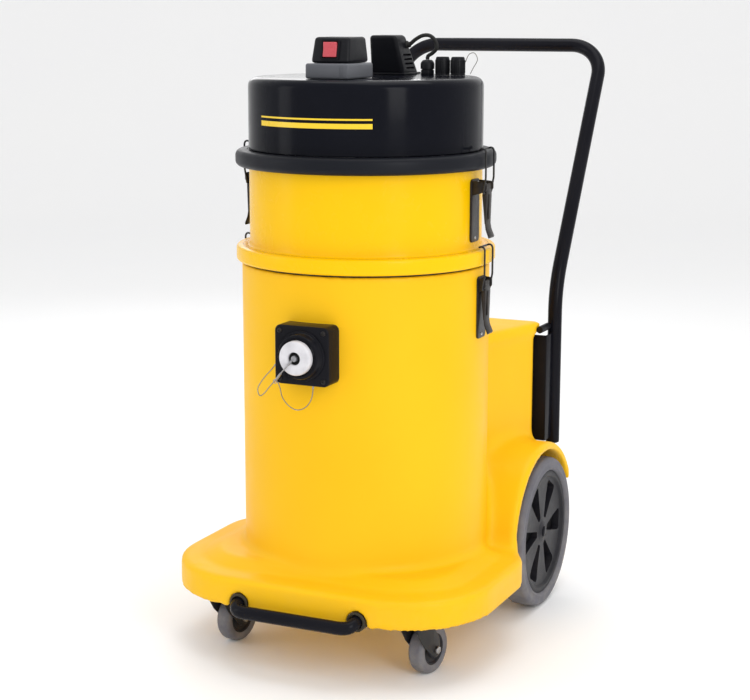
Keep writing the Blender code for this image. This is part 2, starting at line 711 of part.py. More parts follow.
def switch_parts():
    """Silver plinth, black pod and its rocker."""
    z0 = COVER_TOP + FIT
    z1 = z0 + 0.0225
    z2 = z1 + FIT
    z3 = z2 + 0.0375
    soften(finish("pod_plinth", box(-0.0355, 0.0355, -0.1355, -0.050, z0, z1), silver_plastic()), 0.003)
    pod = finish("switch_pod", frustum((-0.0310, 0.0310, -0.1265, -0.055),
                                       (-0.0285, 0.0285, -0.1180, -0.060), z2, z3), black_plastic())
    soften(pod, 0.004)
    slope = math.atan2(0.0085, z3 - z2)
    middle = pivot("rocker_axis", (0.0, -0.1220, z2 + 0.0190))
    middle.rotation_euler = (-slope, 0.0, 0.0)
    combine(pod, "DIFFERENCE", guide("rocker_pocket", box(-0.0118, 0.0118, -0.02, 0.011, -0.0128, 0.0128),
                                     middle))
    rocker = rounded([(-0.0028, -0.0115, 0.001), (0.0095, -0.0050, 0.002), (0.0095, 0.0050, 0.002),
                      (-0.0052, 0.0115, 0.001)], 2)
    finish("rocker_switch", prism(rocker, -0.0108, 0.0108, "X"), red_plastic(), middle)


def exhaust_cowl():
    """The black cowl behind the pod, leaning forward."""
    z0 = COVER_TOP + FIT
    cowl = finish("exhaust_cowl", frustum(
        (-COWL_BASE, COWL_BASE, COWL_Y - 0.022, COWL_Y + 0.040),
        (-COWL_CROWN, COWL_CROWN, COWL_Y - 0.042, COWL_Y), z0, z0 + COWL_HEIGHT), black_plastic())
    return soften(cowl, 0.004)


def gland_and_caps():
    """The cable gland with its captive lead, two screw caps beside it and a cap's wire lanyard."""
    z0 = COVER_TOP + FIT
    first = COWL_BASE + 0.031
    gland = [(0.0, 0.0), (0.0110, 0.0), (0.0110, 0.017), (0.0085, 0.023), (0.0, 0.023)]
    finish("lead_gland", turned(gland, 16), black_plastic(), place=(first, COWL_Y, z0))
    cap = [(0.0, 0.0), (0.0112, 0.0), (0.0115, 0.001), (0.0115, CAP_HEIGHT - 0.002), (0.0100, CAP_HEIGHT),
           (0.0, CAP_HEIGHT)]
    for name, index in (("inner", 1), ("outer", 2)):
        finish("port_cap_" + name, turned(cap, 16), black_plastic(),
               place=(first + CAP_SPACING * index, COWL_Y, z0))
    top = z0 + 0.023 + FIT
    exit_z = 0.046
    side = COWL_BASE - (COWL_BASE - COWL_CROWN) * exit_z / COWL_HEIGHT
    start = side + FIT + 0.0004
    route = [(start, exit_z), (start + 0.005, exit_z + 0.001), (start + 0.014, exit_z + 0.008),
             (start + 0.026, exit_z + 0.014), (first + 0.0035, exit_z + 0.0140),
             (first + 0.0130, exit_z + 0.006), (first + 0.0150, exit_z - 0.005),
             (first + 0.0085, exit_z - 0.0125), (first + 0.0015, exit_z - 0.0165), (first, exit_z - 0.0195)]
    points = smooth_route([(x, COWL_Y, z0 + z) for x, z in route], 0.005)
    points += [Vector((first, COWL_Y, top + 0.0008)), Vector((first, COWL_Y, top))]
    tube("motor_lead", points, LEAD_RADIUS, black_rubber())
    reach = first + 2 * CAP_SPACING
    loop = [(reach + 0.0125, COWL_Y, z0 + 0.020), (reach + 0.020, COWL_Y - 0.004, z0 + 0.032),
            (reach + 0.030, COWL_Y - 0.006, z0 + 0.034), (reach + 0.034, COWL_Y - 0.004, z0 + 0.024),
            (reach + 0.026, COWL_Y, z0 + 0.012), (reach + 0.020, COWL_Y + 0.002, z0 + 0.002)]
    tube("port_lanyard", smooth_route(loop, 0.004), 0.0006, bright_steel(), resolution=2)


# ---------------------------------------------------------------- toggle latches
def latch(name, side, wall_radius, ring_top):
    """A base on the wall, a lever on its ears and the wire bail over the ring."""
    turn = pivot(name + "_side", (0.0, 0.0, 0.0), 0.0 if side > 0 else math.pi)
    pivot_x = CLAMP_RADIUS - 0.001
    pivot_z = ring_top - LATCH_PIVOT_DROP
    ear_in, ear_out = LATCH_HALF_WIDTH - 0.005, LATCH_HALF_WIDTH - 0.002

    plate = rounded([(-LATCH_HALF_WIDTH, pivot_z - 0.085, 0.006), (LATCH_HALF_WIDTH, pivot_z - 0.085, 0.006),
                     (LATCH_HALF_WIDTH, pivot_z + 0.010, 0.006), (-LATCH_HALF_WIDTH, pivot_z + 0.010, 0.006)],
                    3)
    # The plate's outline is (y, z), so it is extruded along X.
    base = finish("latch_base_" + name, prism(plate, wall_radius - 0.010, wall_radius + 0.0022, "X"),
                  black_plastic(), turn)
    for index, ear_side in enumerate((-1, 1)):
        low, high = sorted((ear_side * ear_in, ear_side * ear_out))
        ear_back, ear_front = wall_radius - 0.008, pivot_x + 0.0055
        ear = rounded([(ear_back, pivot_z - 0.0065, 0.0), (ear_front, pivot_z - 0.0065, 0.005),
                       (ear_front, pivot_z + 0.0065, 0.005), (ear_back, pivot_z + 0.0065, 0.0)], 4)
        combine(base, "UNION", guide("%s_ear_%d" % (name, index), prism(ear, low, high, "Y"), turn))
    combine(base, "DIFFERENCE",
            guide(name + "_wall", cylinder(wall_radius + FIT, pivot_z - 0.12, pivot_z + 0.05,
                                           segments=SEGMENTS), turn),
            guide(name + "_pin_hole", cylinder(0.0022, -0.03, 0.03, "Y", (pivot_x, pivot_z), 12), turn))

    lever_pivot = pivot(name + "_lever_axis", (pivot_x, 0.0, pivot_z), parent=turn)
    strap = [(-0.0020, 0.0030), (-0.0010, 0.0042), (0.0015, 0.0042), (0.0035, 0.0020), (0.0040, -0.0140),
             (0.0026, -0.0560), (0.0090, -LATCH_LEVER + 0.0025), (0.0072, -LATCH_LEVER),
             (-0.0002, -0.0560), (-0.0030, -0.0140)]
    lever = finish("latch_lever_" + name, prism(strap, -ear_in + 0.0006, ear_in - 0.0006, "Y"),
                   black_plastic(), lever_pivot)
    combine(lever, "UNION", guide(name + "_pin", cylinder(0.0018, -ear_out, ear_out, "Y", segments=12),
                                  lever_pivot))
    crank = (0.0008, -LATCH_CRANK)
    combine(lever, "DIFFERENCE", guide(name + "_wire_hole", cylinder(
        LATCH_WIRE + 0.0003, -0.03, 0.03, "Y", crank, 12), lever_pivot))

    bail_pivot = pivot(name + "_bail_axis", (crank[0], 0.0, crank[1]), parent=lever_pivot)
    up = LATCH_PIVOT_DROP + LATCH_CRANK
    out = 0.0037
    half = LATCH_HALF_WIDTH
    leg = [(0.0, 0.0), (0.0006, 0.006), (out, 0.022), (out, up - 0.004), (out, up + 0.002),
           (out - 0.002, up + 0.0055), (out - 0.0055, up + 0.0065), (out - 0.0095, up + 0.0050)]
    path = [(x, half, z) for x, z in leg] + [(x, -half, z) for x, z in reversed(leg)]
    tube("latch_bail_" + name, path, LATCH_WIRE, black_wire(), bail_pivot, closed=True, resolution=2)


# ---------------------------------------------------------------- handle and foot bar
def handle_points():
    """The handle's centre line, from the left foot over the crossbar to the right foot."""
    half = HANDLE_HALF_WIDTH
    lean = Vector((math.sin(HANDLE_LEAN), math.cos(HANDLE_LEAN)))
    bend_reach = 0.045
    right = [(half, LEG_Y, HANDLE_FOOT), (half, LEG_Y, HANDLE_BEND - bend_reach)]
    for k in range(1, 5):
        t = k / 5
        start = Vector((LEG_Y, HANDLE_BEND - bend_reach))
        corner = Vector((LEG_Y, HANDLE_BEND))
        end = corner + lean * bend_reach
        spot = start * (1 - t) ** 2 + corner * 2 * t * (1 - t) + end * t * t
        right.append((half, spot.x, spot.y))
    right.append((half, LEG_Y + lean.x * bend_reach, HANDLE_BEND + lean.y * bend_reach))
    slope_length = (HANDLE_TOP - HANDLE_BEND) / math.cos(HANDLE_LEAN)
    for x, along in arc((half - HANDLE_CORNER, slope_length - HANDLE_CORNER), HANDLE_CORNER, 0, 90, 8):
        spot = Vector((LEG_Y, HANDLE_BEND)) + lean * along
        right.append((x, spot.x, spot.y))
    left = [(-x, y, z) for x, y, z in reversed(right)]
    return [Vector(p) for p in right + left]


def handle():
    """The push handle, its channel brackets and spacer studs."""
    tube("handle_tube", handle_points(), TUBE_RADIUS, black_tube(), resolution=2)
    for name, side in (("left", -1), ("right", 1)):
        leg = (side * HANDLE_HALF_WIDTH, LEG_Y)
        leg_space = guide("leg_space_" + name, cylinder(TUBE_RADIUS + FIT, 0.1, 0.6, centre=leg, segments=32))
        low, high = sorted((side * (HANDLE_HALF_WIDTH - 0.040), side * (HANDLE_HALF_WIDTH + 0.001)))
        bracket = finish("handle_bracket_" + name,
                         box(low, high, BOX_Y + FIT, LEG_Y - 0.006, HANDLE_FOOT + 0.009,
                             BOX_CAP_BOTTOM - 0.005), black_tube())
        combine(bracket, "DIFFERENCE", leg_space)
        stud = finish("handle_stud_" + name, cylinder(
            0.006, BOX_Y - 0.0115, LEG_Y - 0.004, "Y",
            (side * (HANDLE_HALF_WIDTH - 0.008), BOX_TOP - 0.0115), 16), black_plastic())
        combine(stud, "DIFFERENCE", leg_space)


def foot_bar():
    """The bent front bar and the two bushes that hold it in the skirt."""
    inside_y = SKIRT_Y + 0.030
    half = FOOT_BAR_HALF_WIDTH
    right = [(half, inside_y, SOCKET_Z), (half, SKIRT_Y + 0.004, SOCKET_Z),
             (half - 0.001, SKIRT_Y - 0.007, SOCKET_Z - 0.002),
             (half - 0.006, FOOT_BAR_Y + 0.004, SOCKET_Z - 0.005),
             (half - 0.018, FOOT_BAR_Y, SOCKET_Z - FOOT_BAR_DROP),
             (half - 0.040, FOOT_BAR_Y, SOCKET_Z - FOOT_BAR_DROP)]
    left = [(-x, y, z) for x, y, z in reversed(right)]
    points = smooth_route(right + left, 0.012)
    tube("foot_bar", points, FOOT_BAR_RADIUS, black_tube(), resolution=2)
    outer = FOOT_BAR_RADIUS + 0.005
    bore = FOOT_BAR_RADIUS + FIT
    for name, side in (("left", -1), ("right", 1)):
        front = SKIRT_Y - 0.002
        back = SKIRT_Y + 0.018
        ring = finish("foot_bush_" + name, cylinder(outer, front, back, "Y", (side * half, SOCKET_Z), 16),
                      black_rubber())
        combine(ring, "DIFFERENCE", guide("bush_bore_" + name, cylinder(
            bore + 0.0012, front - 0.01, back + 0.01, "Y", (side * half, SOCKET_Z), 16)))


# ---------------------------------------------------------------- rear wheels
def rear_wheels():
    """Axle, its carriers, and a spoked hub in a grey tyre on each side."""
    reach = WHEEL_X + 0.012
    finish("rear_axle", cylinder(AXLE_RADIUS, -reach, reach, "X", (AXLE_Y, AXLE_Z)), bright_steel())
    rim = WHEEL_RADIUS - TYRE_SECTION
    half = TYRE_WIDTH / 2
    tyre = [(rim + FIT, -half + 0.004), (rim + FIT, half - 0.004),
            *arc((rim + 0.006, half - 0.006), 0.006, 120, 60, 1),
            *arc((WHEEL_RADIUS - 0.009, half - 0.009), 0.009, 60, 0, 2),
            *arc((WHEEL_RADIUS - 0.009, -half + 0.009), 0.009, 0, -60, 2),
            *arc((rim + 0.006, -half + 0.006), 0.006, -60, -120, 1)]
    hub = [(0.0, 0.0165), (0.016, 0.0140), (rim - 0.010, 0.0135), (rim - 0.008, 0.0180),
           (rim, 0.0180), (rim, -0.0180), (0.016, -0.012),
           (0.016, -0.022), (AXLE_RADIUS + FIT, -0.022), (AXLE_RADIUS + FIT, 0.0125), (0.0, 0.0125)]
    for name, side in (("left", -1), ("right", 1)):
        centre = pivot("rear_wheel_" + name, (side * WHEEL_X, AXLE_Y, AXLE_Z))
        finish("wheel_tyre_" + name, turned([(r, side * h) for r, h in tyre], WHEEL_SEGMENTS, "X"),
               grey_rubber(), centre)
        wheel = finish("wheel_hub_" + name, turned([(r, side * h) for r, h in hub], WHEEL_SEGMENTS, "X"),
                       satin_grey(), centre)
        for k in range(6):
            middle = math.radians(60 * k + 30)
            inner_r, outer_r = 0.024, rim - 0.014
            corners = [(inner_r, -0.20, 0.002), (outer_r, -0.24, 0.004), (outer_r, 0.24, 0.004),
                       (inner_r, 0.20, 0.002)]
            outline = rounded([(r * math.cos(middle + a), r * math.sin(middle + a), c)
                               for r, a, c in corners], 1)
            low, high = sorted((side * 0.001, side * 0.03))
            combine(wheel, "DIFFERENCE", guide("spoke_gap_%s_%d" % (name, k), prism(outline, low, high, "X"),
                                               centre))
        inner_wall = WELL_X - WALL - FIT
        low, high = sorted((side * (inner_wall - 0.008), side * inner_wall))
        carrier = finish("axle_carrier_" + name, prism(rounded([
            (AXLE_Y - 0.026, AXLE_Z - 0.018, 0.006), (AXLE_Y + 0.030, AXLE_Z - 0.018, 0.006),
            (AXLE_Y + 0.030, AXLE_Z + 0.030, 0.006), (AXLE_Y - 0.026, AXLE_Z + 0.030, 0.006)], 3),
            low, high, "X"), bright_steel())
        combine(carrier, "DIFFERENCE", guide("carrier_bore_" + name, cylinder(
            AXLE_RADIUS + FIT, -0.3, 0.3, "X", (AXLE_Y, AXLE_Z))))


# ---------------------------------------------------------------- front casters
def casters():
    """Top plate, swivelling fork with its bolt, and wheel, on each side."""
    plate_bottom = CASTER_PLATE_TOP - 0.003
    head_top = plate_bottom - FIT
    crown = 2 * CASTER_RADIUS + 0.004
    slot = CASTER_WIDTH / 2 + 0.001
    for name, side in (("left", -1), ("right", 1)):
        x = side * CASTER_HALF_TRACK
        soften(finish("caster_plate_" + name, box(
            x - 0.028, x + 0.028, -CASTER_AHEAD - 0.035, -CASTER_AHEAD + 0.035, plate_bottom,
            CASTER_PLATE_TOP), bright_steel()), 0.0008, 1)
        swivel = pivot("swivel_" + name, (x, -CASTER_AHEAD, 0.0), CASTER_YAW)
        side_view = rounded([(-0.022, crown, 0.003), (-0.014, crown - 0.018, 0.010),
                             (CASTER_TRAIL - 0.011, CASTER_RADIUS - 0.011, 0.010),
                             (CASTER_TRAIL + 0.011, CASTER_RADIUS - 0.011, 0.010),
                             (CASTER_TRAIL + 0.009, CASTER_RADIUS + 0.014, 0.006),
                             (0.024, crown - 0.006, 0.003), (0.024, crown + 0.006, 0.003),
                             (-0.022, crown + 0.006, 0.003)], 3)
        fork = finish("caster_fork_" + name, prism(side_view, -slot - 0.0045, slot + 0.0045, "X"),
                      bright_steel(), swivel)
        combine(fork, "DIFFERENCE", guide("fork_slot_" + name, box(
            -slot, slot, -0.05, 0.08, -0.01, crown), swivel))
        race = [(0.0, crown + 0.003), (0.023, crown + 0.003), (0.023, head_top - 0.004), (0.020, head_top),
                (0.0, head_top)]
        combine(fork, "UNION", guide("fork_race_" + name, turned(race, 16), swivel),
                guide("fork_bolt_" + name, cylinder(0.004, -slot - 0.007, slot + 0.007, "X",
                                                    (CASTER_TRAIL, CASTER_RADIUS), 16), swivel))
        axle = pivot("caster_axle_" + name, (0.0, CASTER_TRAIL, CASTER_RADIUS), parent=swivel)
        half = CASTER_WIDTH / 2
        wheel = [(0.0043, -half), (0.013, -half), (0.024, -half + 0.004), (CASTER_RADIUS - 0.005, -half),
                 (CASTER_RADIUS, -half + 0.005), (CASTER_RADIUS, half - 0.005), (CASTER_RADIUS - 0.005, half),
                 (0.024, half - 0.004), (0.013, half), (0.0043, half)]
        finish("caster_wheel_" + name, turned(wheel, SMALL_SEGMENTS, "X"), grey_rubber(), axle)


def build():
    """Makes every piece."""
    clear_scene()
    chassis_body()
    container_seal()
    dust_bag()
    inlet_parts()
    inlet_lanyard()
    filter_chamber()
    chamber_seal()
    filter_parts()
    head_base()
    motor_cover()
    motors()
    switch_parts()
    exhaust_cowl()
    gland_and_caps()
    for side, name in ((-1, "left"), (1, "right")):
        latch("lower_" + name, side, DRUM_RADIUS, FLANGE_TOP)
        latch("upper_" + name, side, CHAMBER_RADIUS, RING_TOP)
    handle()
    foot_bar()
    rear_wheels()
    casters()


build()
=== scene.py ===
"""Shop vacuum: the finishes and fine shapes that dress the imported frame.

Metres, +Z up, front towards -Y. Every shape is written about the drum's own axis and the floor, and
Workshop.piece moves it to where the frame has that axis.
"""
import json
import logging
import math
from dataclasses import dataclass
from enum import Enum
from typing import Any, Iterable, Optional, Sequence

import bmesh
import bpy
import numpy as np
from mathutils import Matrix, Vector

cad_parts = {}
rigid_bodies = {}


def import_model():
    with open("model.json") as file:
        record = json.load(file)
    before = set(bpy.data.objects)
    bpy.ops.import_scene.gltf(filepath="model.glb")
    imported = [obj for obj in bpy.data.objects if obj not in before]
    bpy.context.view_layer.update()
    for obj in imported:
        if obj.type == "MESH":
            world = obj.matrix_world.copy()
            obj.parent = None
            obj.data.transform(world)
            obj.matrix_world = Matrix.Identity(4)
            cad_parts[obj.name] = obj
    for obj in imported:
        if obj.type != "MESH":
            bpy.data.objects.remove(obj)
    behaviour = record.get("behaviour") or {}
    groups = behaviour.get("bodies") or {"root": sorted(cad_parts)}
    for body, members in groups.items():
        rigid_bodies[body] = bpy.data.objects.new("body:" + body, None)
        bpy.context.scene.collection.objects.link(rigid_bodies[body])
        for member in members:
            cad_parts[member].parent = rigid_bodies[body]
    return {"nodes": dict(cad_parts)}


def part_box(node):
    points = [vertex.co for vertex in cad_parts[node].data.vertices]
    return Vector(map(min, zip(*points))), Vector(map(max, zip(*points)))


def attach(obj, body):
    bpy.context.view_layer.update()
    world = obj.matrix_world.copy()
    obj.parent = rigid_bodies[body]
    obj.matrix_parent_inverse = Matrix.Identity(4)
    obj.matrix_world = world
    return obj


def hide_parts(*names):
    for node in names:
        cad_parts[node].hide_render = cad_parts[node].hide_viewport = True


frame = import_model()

LOG = logging.getLogger("shop_vacuum")

RGB = tuple[float, float, float]
Place = Sequence[float]
Outline = list[tuple[float, float]]

SIDES = ((-1, "left"), (1, "right"))

# Segments round a turned piece, by its size.
TURN_LARGE = 192
TURN_MEDIUM = 96
TURN_SMALL = 48
TURN_TINY = 32
WIRE_SIDES = 12  # sides of a thin wire
CORNER_STEPS = 8  # steps in a small rounded corner


# ---------------------------------------------------------------- node trees
class NodeSketch:
    """Short ways to lay nodes and links in one tree."""

    def __init__(self, tree: bpy.types.NodeTree) -> None:
        """Wraps a tree.

        Args:
            tree: The node tree to fill.
        """
        self.tree = tree

    def add(self, kind: str, settings: Optional[dict[str, Any]] = None, **inputs: Any) -> bpy.types.Node:
        """Adds a node.

        Args:
            kind: The node's type name.
            settings: Its properties, set before its inputs.
            inputs: A value or an output socket for each input, by name with _ for a space.

        Returns:
            The new node.
        """
        node = self.tree.nodes.new(kind)
        for key, value in (settings or {}).items():
            setattr(node, key, value)
        for key, value in inputs.items():
            self.feed(node.inputs[key.replace("_", " ")], value)
        return node

    def feed(self, socket: bpy.types.NodeSocket, value: Any) -> None:
        """Links an output socket to an input, or sets the input's own value.

        Args:
            socket: The input.
            value: An output socket, or a plain value.
        """
        if isinstance(value, bpy.types.NodeSocket):
            self.tree.links.new(value, socket)
        else:
            socket.default_value = value

    def math(self, operation: str, first: Any, second: Any = 0.0) -> bpy.types.NodeSocket:
        """Adds a Math node.

        Args:
            operation: The operation's name.
            first: First value or socket.
            second: Second value or socket.

        Returns:
            The node's output.
        """
        node = self.tree.nodes.new("ShaderNodeMath")
        node.operation = operation
        self.feed(node.inputs[0], first)
        self.feed(node.inputs[1], second)
        return node.outputs[0]

    def span(self, value: Any, low: float, high: float, to_low: Any, to_high: Any) -> bpy.types.NodeSocket:
        """Maps a value from one range to another, held at both ends.

        Args:
            value: The value or socket.
            low: Start of its range.
            high: End of its range.
            to_low: Result at the start.
            to_high: Result at the end.

        Returns:
            The mapped value.
        """
        node = self.tree.nodes.new("ShaderNodeMapRange")
        for index, item in enumerate((value, low, high, to_low, to_high)):
            self.feed(node.inputs[index], item)
        return node.outputs[0]

    def blend_colour(self, amount: Any, first: Any, second: Any) -> bpy.types.NodeSocket:
        """Mixes two colours.

        Args:
            amount: Share of the second colour.
            first: First colour or socket.
            second: Second colour or socket.

        Returns:
            The mixed colour.
        """
        node = self.tree.nodes.new("ShaderNodeMix")
        node.data_type = "RGBA"
        self.feed(node.inputs["Factor"], amount)
        colours = [socket for socket in node.inputs if socket.type == "RGBA"]
        self.feed(colours[0], first)
        self.feed(colours[1], second)
        return next(socket for socket in node.outputs if socket.type == "RGBA")


class ShaderGroup(NodeSketch):
    """A shared shader effect with named inputs and outputs."""

    FLOAT = "NodeSocketFloat"
    COLOUR = "NodeSocketColor"
    VECTOR = "NodeSocketVector"

    def __init__(self, name: str, inputs: dict[str, tuple[str, Any]], outputs: dict[str, str]) -> None:
        """Starts the group.

        Args:
            name: The group's name.
            inputs: Socket type and default value for each input.
            outputs: Socket type for each output.
        """
        super().__init__(bpy.data.node_groups.new(name, "ShaderNodeTree"))
        for label, (kind, value) in inputs.items():
            socket = self.tree.interface.new_socket(name=label, in_out="INPUT", socket_type=kind)
            if value is not None:
                socket.default_value = value
        for label, kind in outputs.items():
            self.tree.interface.new_socket(name=label, in_out="OUTPUT", socket_type=kind)
        self.inputs = self.tree.nodes.new("NodeGroupInput").outputs
        self.outputs = self.tree.nodes.new("NodeGroupOutput").inputs

    def close(self, **results: bpy.types.NodeSocket) -> bpy.types.NodeTree:
        """Links the results to the group's outputs.

        Args:
            results: The output socket for each of the group's outputs, by name.

        Returns:
            The finished group.
        """
        for label, socket in results.items():
            self.tree.links.new(socket, self.outputs[label])
        return self.tree


def mottled_group() -> bpy.types.NodeTree:
    """Slow variation of colour and roughness, as handled paint and plastic have.

    Returns:
        The shader group.
    """
    group = ShaderGroup(
        "mottled",
        {"Vector": (ShaderGroup.VECTOR, None), "Colour": (ShaderGroup.COLOUR, None),
         "Tint": (ShaderGroup.COLOUR, None), "Scale": (ShaderGroup.FLOAT, 9.0),
         "Tint Share": (ShaderGroup.FLOAT, 0.5), "Roughness": (ShaderGroup.FLOAT, 0.4),
         "Spread": (ShaderGroup.FLOAT, 0.05)},
        {"Colour": ShaderGroup.COLOUR, "Roughness": ShaderGroup.FLOAT})
    given = group.inputs
    cloud = group.add("ShaderNodeTexNoise", Vector=given["Vector"], Scale=given["Scale"], Detail=4.0)
    amount = group.math("MULTIPLY", group.span(cloud.outputs[0], 0.35, 0.7, 0.0, 1.0), given["Tint Share"])
    smear_scale = group.math("MULTIPLY", given["Scale"], 3.7)
    smear = group.add("ShaderNodeTexNoise", Vector=given["Vector"], Scale=smear_scale, Detail=6.0,
                      Roughness=0.62, Distortion=0.6)
    swing = group.math("MULTIPLY", group.span(smear.outputs[0], 0.3, 0.75, -1.0, 1.0), given["Spread"])
    return group.close(Colour=group.blend_colour(amount, given["Colour"], given["Tint"]),
                       Roughness=group.math("ADD", given["Roughness"], swing))


def grain_group() -> bpy.types.NodeTree:
    """Fine relief: the peel of paint or the grain of a mould.

    Returns:
        The shader group.
    """
    group = ShaderGroup(
        "surface_grain",
        {"Vector": (ShaderGroup.VECTOR, None), "Scale": (ShaderGroup.FLOAT, 600.0),
         "Cells": (ShaderGroup.FLOAT, 0.0), "Strength": (ShaderGroup.FLOAT, 0.2),
         "Depth": (ShaderGroup.FLOAT, 0.0002)},
        {"Normal": ShaderGroup.VECTOR})
    given = group.inputs
    peel = group.add("ShaderNodeTexNoise", Vector=given["Vector"], Scale=given["Scale"], Detail=3.0)
    cells = group.add("ShaderNodeTexVoronoi", Vector=given["Vector"], Scale=given["Scale"])
    pits = group.math("MULTIPLY", cells.outputs["Distance"], given["Cells"])
    bump = group.add("ShaderNodeBump", Height=group.math("ADD", peel.outputs[0], pits),
                     Strength=given["Strength"], Distance=given["Depth"])
    return group.close(Normal=bump.outputs[0])


def brushed_group() -> bpy.types.NodeTree:
    """Long fine scratches along one axis, for plated and drawn steel.

    Returns:
        The shader group.
    """
    group = ShaderGroup(
        "brushed",
        {"Vector": (ShaderGroup.VECTOR, None), "Stretch": (ShaderGroup.VECTOR, (900.0, 900.0, 25.0)),
         "Roughness": (ShaderGroup.FLOAT, 0.3), "Spread": (ShaderGroup.FLOAT, 0.1),
         "Strength": (ShaderGroup.FLOAT, 0.1)},
        {"Roughness": ShaderGroup.FLOAT, "Normal": ShaderGroup.VECTOR})
    given = group.inputs
    drawn = group.add("ShaderNodeVectorMath", {"operation": "MULTIPLY"})
    group.feed(drawn.inputs[0], given["Vector"])
    group.feed(drawn.inputs[1], given["Stretch"])
    lines = group.add("ShaderNodeTexNoise", Vector=drawn.outputs[0], Scale=1.0, Detail=2.0)
    swing = group.math("MULTIPLY", group.span(lines.outputs[0], 0.3, 0.7, -1.0, 1.0), given["Spread"])
    bump = group.add("ShaderNodeBump", Height=lines.outputs[0], Strength=given["Strength"], Distance=0.0001)
    return group.close(Roughness=group.math("ADD", given["Roughness"], swing), Normal=bump.outputs[0])


def dust_group() -> bpy.types.NodeTree:
    """Pale dust that gathers low down, near the floor.

    Returns:
        The shader group.
    """
    group = ShaderGroup(
        "floor_dust",
        {"Vector": (ShaderGroup.VECTOR, None), "Colour": (ShaderGroup.COLOUR, None),
         "Roughness": (ShaderGroup.FLOAT, 0.5), "Dust": (ShaderGroup.COLOUR, (0.33, 0.31, 0.28, 1.0)),
         "Top": (ShaderGroup.FLOAT, 0.12), "Amount": (ShaderGroup.FLOAT, 0.2)},
        {"Colour": ShaderGroup.COLOUR, "Roughness": ShaderGroup.FLOAT})
    given = group.inputs
    axes = group.add("ShaderNodeSeparateXYZ", Vector=given["Vector"])
    low = group.math("SUBTRACT", 1.0, group.math("DIVIDE", axes.outputs["Z"], given["Top"]))
    cloud = group.add("ShaderNodeTexNoise", Vector=given["Vector"], Scale=55.0, Detail=5.0)
    held = group.math("MULTIPLY", group.math("MAXIMUM", low, 0.0), group.span(cloud.outputs[0], 0.3, 0.65,
                                                                              0.0, 1.0))
    amount = group.math("MULTIPLY", held, given["Amount"])
    rough = group.math("ADD", given["Roughness"], group.math("MULTIPLY", amount, 0.5))
    return group.close(Colour=group.blend_colour(amount, given["Colour"], given["Dust"]),
                       Roughness=group.math("MINIMUM", rough, 0.95))


def felt_group() -> bpy.types.NodeTree:
    """Needled felt: tangled fibres, darker where dust has been drawn in.

    Returns:
        The shader group.
    """
    group = ShaderGroup(
        "needle_felt",
        {"Vector": (ShaderGroup.VECTOR, None), "Colour": (ShaderGroup.COLOUR, None),
         "Soil": (ShaderGroup.COLOUR, None), "Scale": (ShaderGroup.FLOAT, 420.0),
         "Strength": (ShaderGroup.FLOAT, 0.5)},
        {"Colour": ShaderGroup.COLOUR, "Normal": ShaderGroup.VECTOR})
    given = group.inputs
    fibres = group.add("ShaderNodeTexNoise", Vector=given["Vector"], Scale=given["Scale"], Detail=6.0,
                       Roughness=0.7, Distortion=2.2)
    patches = group.add("ShaderNodeTexNoise", Vector=given["Vector"], Scale=14.0, Detail=3.0)
    soiled = group.math("MULTIPLY", group.span(patches.outputs[0], 0.42, 0.7, 0.0, 0.75),
                        group.span(fibres.outputs[0], 0.25, 0.6, 0.5, 1.0))
    bump = group.add("ShaderNodeBump", Height=fibres.outputs[0], Strength=given["Strength"], Distance=0.0006)
    return group.close(Colour=group.blend_colour(soiled, given["Colour"], given["Soil"]),
                       Normal=bump.outputs[0])


def stranded_group() -> bpy.types.NodeTree:
    """The twisted strands of thin wire rope, read from the length along it.

    Returns:
        The shader group.
    """
    group = ShaderGroup(
        "stranded_wire",
        {"Along": (ShaderGroup.FLOAT, 0.0), "Vector": (ShaderGroup.VECTOR, None),
         "Pitch": (ShaderGroup.FLOAT, 0.0011), "Strength": (ShaderGroup.FLOAT, 0.6)},
        {"Roughness": ShaderGroup.FLOAT, "Normal": ShaderGroup.VECTOR})
    given = group.inputs
    turns = group.math("MULTIPLY", group.math("DIVIDE", given["Along"], given["Pitch"]), 2 * math.pi)
    wave = group.math("SINE", turns)
    bump = group.add("ShaderNodeBump", Height=wave, Strength=given["Strength"], Distance=0.0002)
    return group.close(Roughness=group.span(wave, -1.0, 1.0, 0.42, 0.24), Normal=bump.outputs[0])


# ---------------------------------------------------------------- finishes
class Texture(Enum):
    """How a finish gets its relief."""

    PEEL = "paint with a faint peel"
    GRAIN = "moulded grain"
    BRUSHED = "drawn or brushed metal"
    FELT = "needled felt"
    STRANDED = "twisted wire"


class Effects:
    """The shared shader groups, each made the first time it is asked for."""

    makers = {"mottled": mottled_group, "grain": grain_group, "brushed": brushed_group, "dust": dust_group,
              "felt": felt_group, "stranded": stranded_group}
    made: dict[str, bpy.types.NodeTree] = {}

    @classmethod
    def get(cls, name: str) -> bpy.types.NodeTree:
        """Finds or makes a group.

        Args:
            name: One of the makers' names.

        Returns:
            The shader group.
        """
        if name not in cls.made:
            cls.made[name] = cls.makers[name]()
        return cls.made[name]


